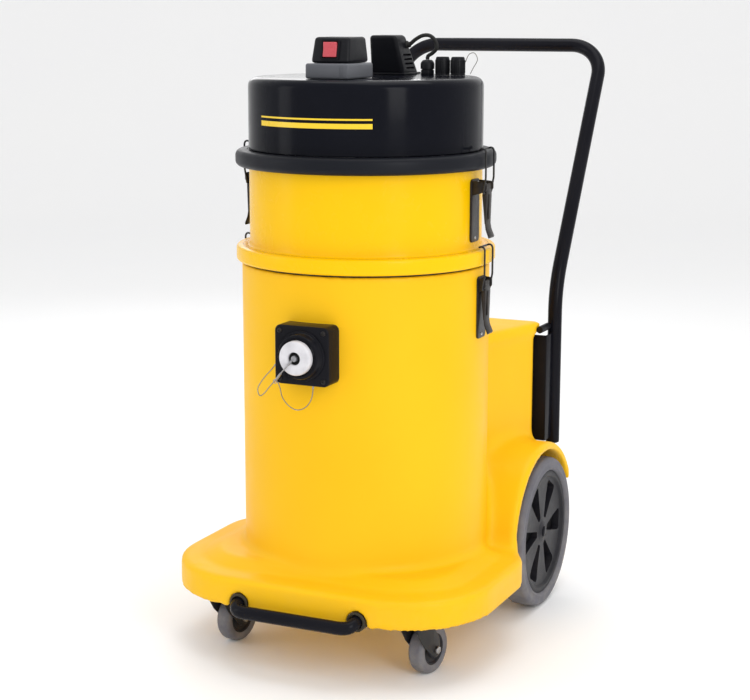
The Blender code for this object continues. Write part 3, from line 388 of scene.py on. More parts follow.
@dataclass(frozen=True)
class Finish:
    """One surface finish, with the node settings that give it its look."""

    name: str
    colour: RGB
    tint: RGB
    roughness: float
    texture: Texture = Texture.GRAIN
    tint_share: float = 0.5
    mottle_scale: float = 9.0
    spread: float = 0.05
    metallic: float = 0.0
    coat: float = 0.0
    coat_roughness: float = 0.08
    grain_scale: float = 700.0
    cells: float = 0.0
    relief: float = 0.12
    depth: float = 0.0002
    dust: float = 0.0
    dust_top: float = 0.12
    stretch: RGB = (900.0, 900.0, 25.0)
    specular: float = 0.5
    sheen: float = 0.0
    # Emission strength: painted light that makes the surface shine by itself.
    painted_glow: float = 0.0

    def material(self) -> bpy.types.Material:
        """Finds or makes the Blender material.

        Returns:
            The material.
        """
        return bpy.data.materials.get("finish_" + self.name) or self._build()

    def _build(self) -> bpy.types.Material:
        """Lays the nodes.

        Returns:
            The new material.
        """
        made = bpy.data.materials.new("finish_" + self.name)
        made.use_nodes = True
        made.diffuse_color = (*self.colour, 1.0)
        sketch = NodeSketch(made.node_tree)
        shader = made.node_tree.nodes["Principled BSDF"]
        constants = {"Metallic": self.metallic, "Coat Weight": self.coat,
                     "Coat Roughness": self.coat_roughness,
                     "Specular IOR Level": self.specular, "Sheen Weight": self.sheen,
                     "Emission Strength": self.painted_glow}
        for label, value in constants.items():
            shader.inputs[label].default_value = value
        here = sketch.add("ShaderNodeTexCoord").outputs["Object"]
        colour, rough = self._colour(sketch, here)
        normal = None
        if self.texture is Texture.BRUSHED:
            effect = self._group(sketch, "brushed", Vector=here, Stretch=self.stretch, Roughness=rough,
                                 Spread=self.spread, Strength=self.relief)
            rough, normal = effect.outputs["Roughness"], effect.outputs["Normal"]
        elif self.texture is Texture.FELT:
            effect = self._group(sketch, "felt", Vector=here, Colour=(*self.colour, 1.0),
                                 Soil=(*self.tint, 1.0), Scale=self.grain_scale, Strength=self.relief)
            colour, normal = effect.outputs["Colour"], effect.outputs["Normal"]
        elif self.texture is Texture.STRANDED:
            length = sketch.add("ShaderNodeAttribute", {"attribute_name": "along"})
            effect = self._group(sketch, "stranded", Along=length.outputs["Fac"], Vector=here,
                                 Strength=self.relief)
            rough, normal = effect.outputs["Roughness"], effect.outputs["Normal"]
        else:
            effect = self._group(sketch, "grain", Vector=here, Scale=self.grain_scale, Cells=self.cells,
                                 Strength=self.relief, Depth=self.depth)
            normal = effect.outputs["Normal"]
        if self.dust > 0.0:
            effect = self._group(sketch, "dust", Vector=here, Colour=colour, Roughness=rough,
                                 Top=self.dust_top, Amount=self.dust)
            colour, rough = effect.outputs["Colour"], effect.outputs["Roughness"]
        sketch.feed(shader.inputs["Base Color"], colour)
        sketch.feed(shader.inputs["Roughness"], rough)
        sketch.feed(shader.inputs["Normal"], normal)
        # Painted light: the base colour is also sent out as emission.
        if self.painted_glow > 0.0:
            sketch.feed(shader.inputs["Emission Color"], colour)
        return made

    def _colour(self, sketch: NodeSketch, here: bpy.types.NodeSocket) -> tuple[Any, Any]:
        """Adds the slow variation of colour and roughness.

        Args:
            sketch: The material's tree.
            here: Object coordinates.

        Returns:
            The colour and roughness outputs.
        """
        effect = self._group(sketch, "mottled", Vector=here, Colour=(*self.colour, 1.0),
                             Tint=(*self.tint, 1.0),
                             Scale=self.mottle_scale, Tint_Share=self.tint_share, Roughness=self.roughness,
                             Spread=self.spread)
        return effect.outputs["Colour"], effect.outputs["Roughness"]

    @staticmethod
    def _group(sketch: NodeSketch, name: str, **inputs: Any) -> bpy.types.Node:
        """Adds one shared effect.

        Args:
            sketch: The material's tree.
            name: The effect's name.
            inputs: A value or an output socket for each input.

        Returns:
            The group node.
        """
        return sketch.add("ShaderNodeGroup", {"node_tree": Effects.get(name)}, **inputs)


class Palette:
    """Every finish on the machine."""

    MOULDED = Finish("moulded_yellow", (0.93, 0.530, 0.008), (0.90, 0.480, 0.005), 0.42, specular=0.14,
                     grain_scale=240.0, relief=0.10, depth=0.0004, mottle_scale=5.0,
                     spread=0.05, dust=0.10, dust_top=0.16)
    PAINTED = Finish("painted_yellow", (0.94, 0.550, 0.0005), (0.92, 0.515, 0.0005), 0.26, Texture.PEEL,
                     specular=0.16,
                     grain_scale=420.0, relief=0.06, depth=0.0002, tint_share=0.4)
    DOME = Finish("dome_enamel", (0.0045, 0.005, 0.0085), (0.008, 0.009, 0.013), 0.16, Texture.PEEL,
                  specular=0.07,
                  grain_scale=300.0, relief=0.05, depth=0.0002, spread=0.04)
    CLAMP = Finish("clamp_ring_grey", (0.007, 0.008, 0.012), (0.010, 0.011, 0.015), 0.42, grain_scale=1500.0,
                   cells=0.6, relief=0.16, depth=0.0001, specular=0.14)
    BLACK = Finish("grained_black", (0.007, 0.0075, 0.010), (0.011, 0.011, 0.013), 0.40, grain_scale=1400.0,
                   cells=1.0, relief=0.28, depth=0.00012, spread=0.08, specular=0.16)
    GLOSS_BLACK = Finish("polished_black", (0.008, 0.008, 0.011), (0.012, 0.012, 0.014), 0.14,
                         grain_scale=900.0,
                         relief=0.08, depth=0.0001, specular=0.08)
    SILVER = Finish("silver_plastic", (0.115, 0.120, 0.135), (0.080, 0.084, 0.096), 0.36, specular=0.3,
                    grain_scale=1800.0, relief=0.12, depth=0.0001, mottle_scale=20.0)
    TUBE = Finish("black_tube_paint", (0.006, 0.006, 0.009), (0.012, 0.012, 0.016), 0.20, Texture.PEEL,
                  specular=0.08,
                  grain_scale=700.0, relief=0.08, depth=0.0002, spread=0.06)
    LATCH = Finish("blackened_steel", (0.011, 0.010, 0.011), (0.045, 0.034, 0.024), 0.36, Texture.BRUSHED,
                   specular=0.3, metallic=0.2, mottle_scale=60.0, tint_share=0.6,
                   stretch=(500.0, 500.0, 40.0), relief=0.15)
    YOKE = Finish("yoke_black", (0.016, 0.016, 0.018), (0.040, 0.036, 0.030), 0.38, Texture.PEEL,
                  specular=0.25,
                  mottle_scale=70.0, grain_scale=900.0, relief=0.10)
    WIRE_BLACK = Finish("blackened_wire", (0.010, 0.010, 0.012), (0.03, 0.027, 0.024), 0.32, metallic=0.2,
                        mottle_scale=90.0, grain_scale=900.0, relief=0.10)
    ZINC = Finish("zinc_plate", (0.56, 0.57, 0.58), (0.43, 0.42, 0.40), 0.30, Texture.BRUSHED, metallic=1.0,
                  mottle_scale=40.0, tint_share=0.5, spread=0.10, relief=0.10, stretch=(60.0, 700.0, 700.0))
    STRAND = Finish("wire_rope", (0.34, 0.33, 0.30), (0.22, 0.20, 0.17), 0.32, Texture.STRANDED, metallic=1.0,
                    mottle_scale=80.0, relief=0.6)
    DRAWN = Finish("drawn_steel", (0.40, 0.40, 0.41), (0.33, 0.32, 0.31), 0.38, Texture.BRUSHED, metallic=1.0,
                   mottle_scale=30.0, spread=0.08, relief=0.12, stretch=(40.0, 40.0, 900.0))
    RUBBER = Finish("black_rubber", (0.012, 0.012, 0.012), (0.024, 0.023, 0.020), 0.72, grain_scale=1100.0,
                    cells=0.5, relief=0.35, depth=0.0002, specular=0.35, mottle_scale=30.0)
    GROMMET = Finish("aged_rubber", (0.040, 0.032, 0.016), (0.022, 0.019, 0.012), 0.60, grain_scale=900.0,
                     relief=0.3, depth=0.0002, specular=0.35, mottle_scale=60.0)
    TYRE = Finish("grey_tyre", (0.125, 0.123, 0.145), (0.092, 0.090, 0.106), 0.62, grain_scale=800.0,
                  cells=0.5,
                  relief=0.30, depth=0.00025, specular=0.4, mottle_scale=26.0, dust=0.45, dust_top=0.30)
    HUB = Finish("hub_black", (0.011, 0.011, 0.015), (0.017, 0.016, 0.020), 0.44, grain_scale=1500.0,
                 cells=0.9,
                 relief=0.22, depth=0.00012, dust=0.05, dust_top=0.26, specular=0.2)
    # Near-black sheets on the floors of the hub's wedge pockets: painted shade, darker than the hub itself.
    HUB_GAP_SHADE = Finish("hub_gap_painted_shade", (0.0025, 0.0025, 0.0035), (0.005, 0.005, 0.006), 0.6,
                      grain_scale=1500.0,
                      relief=0.15, depth=0.0001, specular=0.1)
    WHITE = Finish("white_cap", (0.70, 0.69, 0.72), (0.50, 0.49, 0.52), 0.34, grain_scale=900.0, relief=0.2,
                   depth=0.00015, mottle_scale=60.0, tint_share=0.7, coat=0.15)
    STUD = Finish("grey_stud", (0.34, 0.34, 0.36), (0.24, 0.24, 0.25), 0.38, metallic=0.8, mottle_scale=120.0,
                  relief=0.10)
    # The rocker's faint emission is painted light; the switch is not lit.
    RED = Finish("rocker_red", (0.52, 0.055, 0.075), (0.44, 0.040, 0.055), 0.30, grain_scale=1300.0,
                 relief=0.10,
                 depth=0.0001, coat=0.3, painted_glow=0.10, mottle_scale=140.0)
    STRIPE = Finish("stripe_yellow", (0.90, 0.62, 0.02), (0.84, 0.55, 0.02), 0.30, grain_scale=900.0,
                    relief=0.05)
    FELT = Finish("filter_felt", (0.62, 0.59, 0.52), (0.30, 0.27, 0.22), 0.92, Texture.FELT,
                  grain_scale=520.0,
                  relief=0.5, specular=0.2, sheen=0.25)
    PAPER = Finish("bag_fleece", (0.60, 0.57, 0.50), (0.36, 0.33, 0.28), 0.90, Texture.FELT,
                   grain_scale=700.0,
                   relief=0.35, specular=0.2, sheen=0.15)
    FLOOR = Finish("studio_floor", (0.97, 0.97, 0.97), (0.96, 0.96, 0.97), 0.60, grain_scale=60.0,
                   relief=0.02,
                   mottle_scale=2.0)


# ---------------------------------------------------------------- outlines and solids
def arc(centre: tuple[float, float], radius: float, start: float, end: float, steps: int) -> Outline:
    """Points along an arc.

    Args:
        centre: Its centre.
        radius: Its radius.
        start: First angle in degrees.
        end: Last angle in degrees.
        steps: Number of chords.

    Returns:
        The points, ends included.
    """
    angles = [math.radians(start + (end - start) * i / steps) for i in range(steps + 1)]
    return [(centre[0] + radius * math.cos(a), centre[1] + radius * math.sin(a)) for a in angles]


def rounded(corners: Sequence[tuple[float, float, float]], steps: int = 6) -> Outline:
    """A closed outline with rounded corners.

    Args:
        corners: (x, y, radius) for each corner.
        steps: Chords in each corner.

    Returns:
        The outline.
    """
    points: Outline = []
    for i, (x, y, radius) in enumerate(corners):
        here = Vector((x, y))
        if radius <= 0.0:
            points.append((x, y))
            continue
        before = (Vector(corners[i - 1][:2]) - here).normalized()
        after = (Vector(corners[(i + 1) % len(corners)][:2]) - here).normalized()
        half = before.angle(after) / 2
        centre = here + (before + after).normalized() * (radius / math.sin(half))
        first = here + before * (radius / math.tan(half)) - centre
        last = here + after * (radius / math.tan(half)) - centre
        sweep = first.angle_signed(last)
        points += [tuple(centre + Matrix.Rotation(-sweep * k / steps, 2) @ first) for k in range(steps + 1)]
    return points


def rectangle(half_x: float, low: float, high: float, radius: float, steps: int = 6) -> Outline:
    """A rounded rectangle, even about x = 0.

    Args:
        half_x: Half its width.
        low: Its lower edge.
        high: Its upper edge.
        radius: Its corner radius.
        steps: Chords in each corner.

    Returns:
        The outline.
    """
    return rounded([(-half_x, low, radius), (half_x, low, radius), (half_x, high, radius),
                    (-half_x, high, radius)], steps)


def mirrored(half: Sequence[tuple[float, float, float]]) -> list[tuple[float, float, float]]:
    """Corners of a closed outline from its +X half.

    Args:
        half: The corners on the +X side, from front to back.

    Returns:
        All the corners.
    """
    return list(half) + [(-x, y, r) for x, y, r in reversed(half)]


def prism(outline: Outline, low: float, high: float, axis: str = "Z") -> bmesh.types.BMesh:
    """A solid of one outline along an axis.

    Args:
        outline: (x, y) along Z, (y, z) along X or (x, z) along Y.
        low: Where it starts.
        high: Where it ends.
        axis: "X", "Y" or "Z".

    Returns:
        The solid.
    """
    order = {"Z": lambda p, h: (p[0], p[1], h), "X": lambda p, h: (h, p[0], p[1]),
             "Y": lambda p, h: (p[0], h, p[1])}[axis]
    bm = bmesh.new()
    rings = [[bm.verts.new(order(p, h)) for p in outline] for h in (low, high)]
    for ring in rings:
        bm.faces.new(ring)
    for i in range(len(outline)):
        j = (i + 1) % len(outline)
        bm.faces.new((rings[0][i], rings[0][j], rings[1][j], rings[1][i]))
    return bm


def lathe(profile: Outline, segments: int = TURN_MEDIUM, axis: str = "Z",
          closed: bool = True) -> bmesh.types.BMesh:
    """A profile spun about an axis.

    Args:
        profile: (radius, height) points. Radius 0 closes on the axis.
        segments: Facets round it.
        axis: "X", "Y" or "Z". Height h goes to x = h, y = h or z = h.
        closed: Joins the last point to the first.

    Returns:
        The solid.
    """
    bm = bmesh.new()
    turns = [2 * math.pi * k / segments for k in range(segments)]
    columns = []
    for radius, height in profile:
        if radius < 1e-7:
            columns.append([bm.verts.new((0.0, 0.0, height))] * segments)
        else:
            columns.append([bm.verts.new((radius * math.cos(a), radius * math.sin(a),
                                          height)) for a in turns])
    for i in range(len(columns) if closed else len(columns) - 1):
        here, there = columns[i], columns[(i + 1) % len(columns)]
        for k in range(segments):
            m = (k + 1) % segments
            corners = list(dict.fromkeys((here[k], here[m], there[m], there[k])))
            if len(corners) > 2:
                bm.faces.new(corners)
    if axis == "X":
        bmesh.ops.rotate(bm, verts=bm.verts, matrix=Matrix.Rotation(math.pi / 2, 3, "Y"))
    if axis == "Y":
        bmesh.ops.rotate(bm, verts=bm.verts, matrix=Matrix.Rotation(-math.pi / 2, 3, "X"))
    return bm


def block(x: tuple[float, float], y: tuple[float, float], z: tuple[float, float],
          top: Optional[tuple[float, float, float, float]] = None) -> bmesh.types.BMesh:
    """A block, with an upper face of its own if one is given.

    Args:
        x: Its extent along X.
        y: Its extent along Y.
        z: Its extent along Z.
        top: x low, x high, y low and y high of the upper face.

    Returns:
        The solid.
    """
    x0, x1, y0, y1 = top or (*x, *y)
    bm = bmesh.new()
    low = [bm.verts.new(p) for p in ((x[0], y[0], z[0]), (x[1], y[0], z[0]), (x[1], y[1], z[0]),
                                     (x[0], y[1], z[0]))]
    high = [bm.verts.new(p) for p in ((x0, y0, z[1]), (x1, y0, z[1]), (x1, y1, z[1]), (x0, y1, z[1]))]
    bm.faces.new(low)
    bm.faces.new(high)
    for i in range(4):
        j = (i + 1) % 4
        bm.faces.new((low[i], low[j], high[j], high[i]))
    return bm


def softened(bm: bmesh.types.BMesh, width: float, segments: int = 3,
             angle: float = 30.0) -> bmesh.types.BMesh:
    """Rounds every edge sharper than an angle.

    Args:
        bm: The solid.
        width: Width of the rounding.
        segments: Facets across it.
        angle: Least angle between two faces, in degrees.

    Returns:
        The same solid.
    """
    bmesh.ops.recalc_face_normals(bm, faces=bm.faces)
    bm.normal_update()
    edges = [e for e in bm.edges if len(e.link_faces) == 2 and e.calc_face_angle() > math.radians(angle)]
    bmesh.ops.bevel(bm, geom=edges, offset=width, segments=segments, profile=0.5, affect="EDGES",
                    clamp_overlap=True)
    return bm


def moved(bm: bmesh.types.BMesh, *steps: Matrix) -> bmesh.types.BMesh:
    """Applies matrices to a solid, the first one first.

    Args:
        bm: The solid.
        steps: The matrices.

    Returns:
        The same solid.
    """
    for step in steps:
        bmesh.ops.transform(bm, matrix=step, verts=bm.verts)
    return bm


def merged(*parts: bmesh.types.BMesh) -> bmesh.types.BMesh:
    """Puts several solids in one mesh.

    Args:
        parts: The solids. They are freed.

    Returns:
        One mesh.
    """
    whole = bmesh.new()
    for part in parts:
        mesh = bpy.data.meshes.new("part")
        part.to_mesh(mesh)
        part.free()
        whole.from_mesh(mesh)
        bpy.data.meshes.remove(mesh)
    return whole


def shift(x: float = 0.0, y: float = 0.0, z: float = 0.0) -> Matrix:
    """A move.

    Args:
        x: Along X.
        y: Along Y.
        z: Along Z.

    Returns:
        The matrix.
    """
    return Matrix.Translation((x, y, z))


def turn(degrees: float, axis: str) -> Matrix:
    """A turn about an axis through the origin.

    Args:
        degrees: The angle.
        axis: "X", "Y" or "Z".

    Returns:
        The matrix.
    """
    return Matrix.Rotation(math.radians(degrees), 4, axis)


def smooth_route(points: Sequence[Place], step: float) -> list[Vector]:
    """Even points on a smooth curve through the given ones.

    Args:
        points: What it goes through.
        step: Distance between its points.

    Returns:
        The points.
    """
    knots = [Vector(p) for p in points]
    dense: list[Vector] = []
    for i in range(len(knots) - 1):
        a, b = knots[i], knots[i + 1]
        before = knots[i - 1] if i > 0 else a * 2 - b
        after = knots[i + 2] if i + 2 < len(knots) else b * 2 - a
        for k in range(24):
            t = k / 24
            dense.append(0.5 * (2 * a + (b - before) * t + (2 * before - 5 * a + 4 * b - after) * t * t
                                + (3 * a - before - 3 * b + after) * t ** 3))
    dense.append(knots[-1])
    lengths = [0.0]
    for a, b in zip(dense, dense[1:]):
        lengths.append(lengths[-1] + (b - a).length)
    count = max(2, round(lengths[-1] / step))
    route, k = [], 0
    for i in range(count + 1):
        goal = lengths[-1] * i / count
        while k < len(dense) - 2 and lengths[k + 1] < goal:
            k += 1
        span = lengths[k + 1] - lengths[k]
        route.append(dense[k].lerp(dense[k + 1], (goal - lengths[k]) / span if span else 0.0))
    return route


# ---------------------------------------------------------------- geometry trees
class GeometryTree(NodeSketch):
    """A Geometry Nodes tree with named inputs, baked to a plain mesh."""

    def __init__(self, name: str, inputs: dict[str, tuple[str, Any]]) -> None:
        """Starts the tree.

        Args:
            name: The tree's name.
            inputs: Socket type and default value for each input.
        """
        super().__init__(bpy.data.node_groups.new(name, "GeometryNodeTree"))
        sockets = self.tree.interface
        sockets.new_socket(name="Geometry", in_out="INPUT", socket_type="NodeSocketGeometry")
        self.ids: dict[str, str] = {}
        for label, (kind, value) in {**inputs, "Finish": ("NodeSocketMaterial", None)}.items():
            socket = sockets.new_socket(name=label, in_out="INPUT", socket_type=kind)
            if value is not None:
                socket.default_value = value
            self.ids[label] = socket.identifier
        sockets.new_socket(name="Geometry", in_out="OUTPUT", socket_type="NodeSocketGeometry")
        self.inputs = self.tree.nodes.new("NodeGroupInput").outputs
        self.outputs = self.tree.nodes.new("NodeGroupOutput").inputs

    def close(self, geometry: bpy.types.NodeSocket) -> None:
        """Ends the tree with Realize Instances and Set Material.

        Args:
            geometry: The last geometry output.
        """
        plain = self.add("GeometryNodeRealizeInstances", Geometry=geometry)
        coated = self.add("GeometryNodeSetMaterial", Geometry=plain.outputs[0],
                          Material=self.inputs["Finish"])
        self.tree.links.new(coated.outputs[0], self.outputs[0])

    def bake(self, base: bmesh.types.BMesh, finish: Finish, **values: Any) -> bmesh.types.BMesh:
        """Runs the tree on a mesh.

        Args:
            base: What it starts from. It is freed.
            finish: The finish that it sets.
            values: A value for each named input, with _ for a space.

        Returns:
            The plain result.
        """
        mesh = bpy.data.meshes.new("base")
        base.to_mesh(mesh)
        base.free()
        obj = bpy.data.objects.new("base", mesh)
        bpy.context.scene.collection.objects.link(obj)
        modifier = obj.modifiers.new("tree", "NODES")
        modifier.node_group = self.tree
        modifier[self.ids["Finish"]] = finish.material()
        for label, value in values.items():
            modifier[self.ids[label.replace("_", " ")]] = value
        bpy.context.view_layer.update()
        evaluated = obj.evaluated_get(bpy.context.evaluated_depsgraph_get())
        made = bpy.data.meshes.new_from_object(evaluated)
        result = bmesh.new()
        result.from_mesh(made)
        bpy.data.objects.remove(obj)
        bpy.data.meshes.remove(mesh)
        bpy.data.meshes.remove(made)
        return result


class Trees:
    """The machine's Geometry Nodes trees."""

    def __init__(self) -> None:
        """Builds every tree."""
        self.sweep = self._sweep()
        self.round = self._round()
        self.row = self._row()
        self.fasteners = self._fasteners()
        self.pleats = self._pleats()

    @staticmethod
    def _sweep() -> GeometryTree:
        """A round bar along the edges of a mesh, with its length kept as the attribute "along".

        Returns:
            The tree.
        """
        tree = GeometryTree("wire_sweep", {"Radius": ("NodeSocketFloat", 0.003), "Sides": ("NodeSocketInt",
                                                                                           16),
                                           "Cap Ends": ("NodeSocketBool", True)})
        line = tree.add("GeometryNodeMeshToCurve", Mesh=tree.inputs["Geometry"])
        length = tree.add("GeometryNodeSplineParameter").outputs["Length"]
        kept = tree.add("GeometryNodeStoreNamedAttribute", {"data_type": "FLOAT", "domain": "POINT"},
                        Geometry=line.outputs[0], Name="along", Value=length)
        ring = tree.add("GeometryNodeCurvePrimitiveCircle", Resolution=tree.inputs["Sides"],
                        Radius=tree.inputs["Radius"])
        bar = tree.add("GeometryNodeCurveToMesh", Curve=kept.outputs[0], Profile_Curve=ring.outputs[0],
                       Fill_Caps=tree.inputs["Cap Ends"])
        tree.close(bar.outputs[0])
        return tree

    @staticmethod
    def _round() -> GeometryTree:
        """Copies of a mesh at even turns about Z.

        Returns:
            The tree.
        """
        tree = GeometryTree("round_repeat", {"Count": ("NodeSocketInt", 6), "Phase": ("NodeSocketFloat",
                                                                                      0.0)})
        points = tree.add("GeometryNodePoints", Count=tree.inputs["Count"])
        step = tree.math("DIVIDE", 2 * math.pi, tree.inputs["Count"])
        index = tree.add("GeometryNodeInputIndex").outputs[0]
        angle = tree.math("ADD", tree.math("MULTIPLY", index, step), tree.inputs["Phase"])
        euler = tree.add("ShaderNodeCombineXYZ", Z=angle)
        spin = tree.add("FunctionNodeEulerToRotation", Euler=euler.outputs[0])
        copies = tree.add("GeometryNodeInstanceOnPoints", Points=points.outputs[0],
                          Instance=tree.inputs["Geometry"], Rotation=spin.outputs[0])
        tree.close(copies.outputs[0])
        return tree

    @staticmethod
    def _row() -> GeometryTree:
        """Copies of a mesh along a straight line.

        Returns:
            The tree.
        """
        tree = GeometryTree("straight_repeat", {"Count": ("NodeSocketInt", 6),
                                                "Step": ("NodeSocketVector", (0.0, 0.0, 0.01))})
        index = tree.add("GeometryNodeInputIndex").outputs[0]
        along = tree.add("ShaderNodeVectorMath", {"operation": "SCALE"})
        tree.feed(along.inputs[0], tree.inputs["Step"])
        tree.feed(along.inputs["Scale"], index)
        points = tree.add("GeometryNodePoints", Count=tree.inputs["Count"], Position=along.outputs[0])
        copies = tree.add("GeometryNodeInstanceOnPoints", Points=points.outputs[0],
                          Instance=tree.inputs["Geometry"])
        tree.close(copies.outputs[0])
        return tree

    @staticmethod
    def _fasteners() -> GeometryTree:
        """One fastener at each vertex, along its "facing" attribute and clocked by a fixed seed.

        Returns:
            The tree.
        """
        tree = GeometryTree("fastener_set", {"Fastener": ("NodeSocketObject", None),
                                             "Seed": ("NodeSocketInt", 7)})
        info = tree.add("GeometryNodeObjectInfo", Object=tree.inputs["Fastener"])
        clock = tree.add("FunctionNodeRandomValue", {"data_type": "FLOAT"}, Seed=tree.inputs["Seed"])
        floats = [socket for socket in clock.inputs if socket.type == "VALUE" and socket.name in ("Min",
                                                                                                  "Max")]
        floats[0].default_value = 0.0
        floats[1].default_value = 2 * math.pi
        spun = next(socket for socket in clock.outputs if socket.type == "VALUE")
        euler = tree.add("ShaderNodeCombineXYZ", Z=spun)
        start = tree.add("FunctionNodeEulerToRotation", Euler=euler.outputs[0])
        facing = tree.add("GeometryNodeInputNamedAttribute", {"data_type": "FLOAT_VECTOR"}, Name="facing")
        aim = tree.add("FunctionNodeAlignRotationToVector", {"axis": "Z"}, Rotation=start.outputs[0],
                       Vector=facing.outputs[0])
        copies = tree.add("GeometryNodeInstanceOnPoints", Points=tree.inputs["Geometry"],
                          Instance=info.outputs["Geometry"], Rotation=aim.outputs[0])
        tree.close(copies.outputs[0])
        return tree

    @staticmethod
    def _pleats() -> GeometryTree:
        """Waves the outer wall of a lathe in and out.

        Returns:
            The tree.
        """
        tree = GeometryTree("pleated_wall", {"Pleats": ("NodeSocketInt", 48), "Depth": ("NodeSocketFloat",
                                                                                        0.01),
                                             "Low": ("NodeSocketFloat", 0.0), "High": ("NodeSocketFloat",
                                                                                       1.0),
                                             "Core": ("NodeSocketFloat", 0.05)})
        spot = tree.add("GeometryNodeInputPosition").outputs[0]
        axes = tree.add("ShaderNodeSeparateXYZ", Vector=spot)
        angle = tree.math("ARCTAN2", axes.outputs["Y"], axes.outputs["X"])
        wave = tree.math("SINE", tree.math("MULTIPLY", angle, tree.inputs["Pleats"]))
        flat = tree.add("ShaderNodeCombineXYZ", X=axes.outputs["X"], Y=axes.outputs["Y"])
        outward = tree.add("ShaderNodeVectorMath", {"operation": "NORMALIZE"})
        tree.feed(outward.inputs[0], flat.outputs[0])
        radius = tree.add("ShaderNodeVectorMath", {"operation": "LENGTH"})
        tree.feed(radius.inputs[0], flat.outputs[0])
        on_wall = tree.math("GREATER_THAN", radius.outputs["Value"], tree.inputs["Core"])
        above = tree.math("GREATER_THAN", axes.outputs["Z"], tree.inputs["Low"])
        below = tree.math("LESS_THAN", axes.outputs["Z"], tree.inputs["High"])
        mask = tree.math("MULTIPLY", on_wall, tree.math("MULTIPLY", above, below))
        reach = tree.math("MULTIPLY", tree.math("MULTIPLY", tree.math("SUBTRACT", wave, 1.0), 0.5),
                          tree.inputs["Depth"])
        move = tree.add("ShaderNodeVectorMath", {"operation": "SCALE"})
        tree.feed(move.inputs[0], outward.outputs[0])
        tree.feed(move.inputs["Scale"], tree.math("MULTIPLY", reach, mask))
        folded = tree.add("GeometryNodeSetPosition", Geometry=tree.inputs["Geometry"], Offset=move.outputs[0])
        tree.close(folded.outputs[0])
        return tree


# ---------------------------------------------------------------- workshop
class Workshop:
    """Turns solids into finished pieces that ride on the frame."""

    def __init__(self) -> None:
        """Finds the drum's axis in the frame and builds the trees."""
        low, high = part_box("filter_chamber")
        self.axis_y = (low.y + high.y) / 2
        self.trees = Trees()

    def piece(self, name: str, bm: bmesh.types.BMesh, finish: Finish, body: Optional[str],
              replaces: Iterable[str] = (),
              sharp: float = 38.0) -> bpy.types.Object:
        """Makes one piece.

        Args:
            name: Its name.
            bm: Its solid, about the drum's axis. It is freed.
            finish: Its finish.
            body: The frame body it rides on, or None to leave it unattached.
            replaces: The frame nodes that it stands for.
            sharp: Edges above this angle, in degrees, stay sharp.

        Returns:
            The piece.
        """
        bmesh.ops.transform(bm, matrix=shift(y=self.axis_y), verts=bm.verts)
        bmesh.ops.recalc_face_normals(bm, faces=bm.faces)
        mesh = bpy.data.meshes.new(name)
        bm.to_mesh(mesh)
        bm.free()
        mesh.shade_smooth()
        mesh.set_sharp_from_angle(angle=math.radians(sharp))
        mesh.materials.clear()
        mesh.materials.append(finish.material())
        obj = bpy.data.objects.new(name, mesh)
        bpy.context.scene.collection.objects.link(obj)
        if body:
            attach(obj, body)
        if replaces:
            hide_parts(*replaces)
        LOG.info("%s: %d faces", name, len(mesh.polygons))
        return obj

    def wire(self, points: Sequence[Place], radius: float, finish: Finish, sides: int = 16,
             closed: bool = False) -> bmesh.types.BMesh:
        """Sweeps a round bar along points.

        Args:
            points: Its centre line.
            radius: Its radius.
            finish: Its finish.
            sides: Facets round it.
            closed: Joins its ends.

        Returns:
            The solid.
        """
        bm = bmesh.new()
        verts = [bm.verts.new(p) for p in points]
        for a, b in zip(verts, verts[1:]):
            bm.edges.new((a, b))
        if closed:
            bm.edges.new((verts[-1], verts[0]))
        return self.trees.sweep.bake(bm, finish, Radius=radius, Sides=sides, Cap_Ends=not closed)

    def fixings(self, spots: Sequence[tuple[Place, Place]], head: bmesh.types.BMesh, finish: Finish,
                seed: int = 7) -> bmesh.types.BMesh:
        """Sets one fastener at each spot.

        Args:
            spots: (place, outward direction) for each.
            head: The fastener, standing on z = 0. It is freed.
            finish: Its finish.
            seed: Seed of the angles that they are turned to.

        Returns:
            All of them in one mesh.
        """
        mesh = bpy.data.meshes.new("fastener")
        bmesh.ops.recalc_face_normals(head, faces=head.faces)
        head.to_mesh(mesh)
        head.free()
        model = bpy.data.objects.new("fastener", mesh)
        bpy.context.scene.collection.objects.link(model)
        bm = bmesh.new()
        layer = bm.verts.layers.float_vector.new("facing")
        for spot, facing in spots:
            bm.verts.new(spot)[layer] = Vector(facing)
        made = self.trees.fasteners.bake(bm, finish, Fastener=model, Seed=seed)
        bpy.data.objects.remove(model)
        bpy.data.meshes.remove(mesh)
        return made

    def cut(self, bm: bmesh.types.BMesh, *tools: bmesh.types.BMesh) -> bmesh.types.BMesh:
        """Takes solids away from a solid with exact Booleans.

        Args:
            bm: The solid. It is freed.
            tools: What is taken away. They are freed.

        Returns:
            What is left.
        """
        objects = []
        for part in (bm, *tools):
            bmesh.ops.recalc_face_normals(part, faces=part.faces)
            mesh = bpy.data.meshes.new("cut")
            part.to_mesh(mesh)
            part.free()
            obj = bpy.data.objects.new("cut", mesh)
            bpy.context.scene.collection.objects.link(obj)
            objects.append(obj)
        target = objects[0]
        for tool in objects[1:]:
            modifier = target.modifiers.new("cut", "BOOLEAN")
            modifier.operation = "DIFFERENCE"
            modifier.solver = "EXACT"
            modifier.object = tool
        bpy.context.view_layer.update()
        made = bpy.data.meshes.new_from_object(target.evaluated_get(bpy.context.evaluated_depsgraph_get()))
        result = bmesh.new()
        result.from_mesh(made)
        for obj in objects:
            mesh = obj.data
            bpy.data.objects.remove(obj)
            bpy.data.meshes.remove(mesh)
        bpy.data.meshes.remove(made)
        return result

    @staticmethod
    def coat(finish: Finish, *nodes: str) -> None:
        """Gives frame nodes a finish.

        Args:
            finish: The finish.
            nodes: The nodes' names.
        """
        for name in nodes:
            mesh = frame["nodes"][name].data
            mesh.materials.clear()
            mesh.materials.append(finish.material())


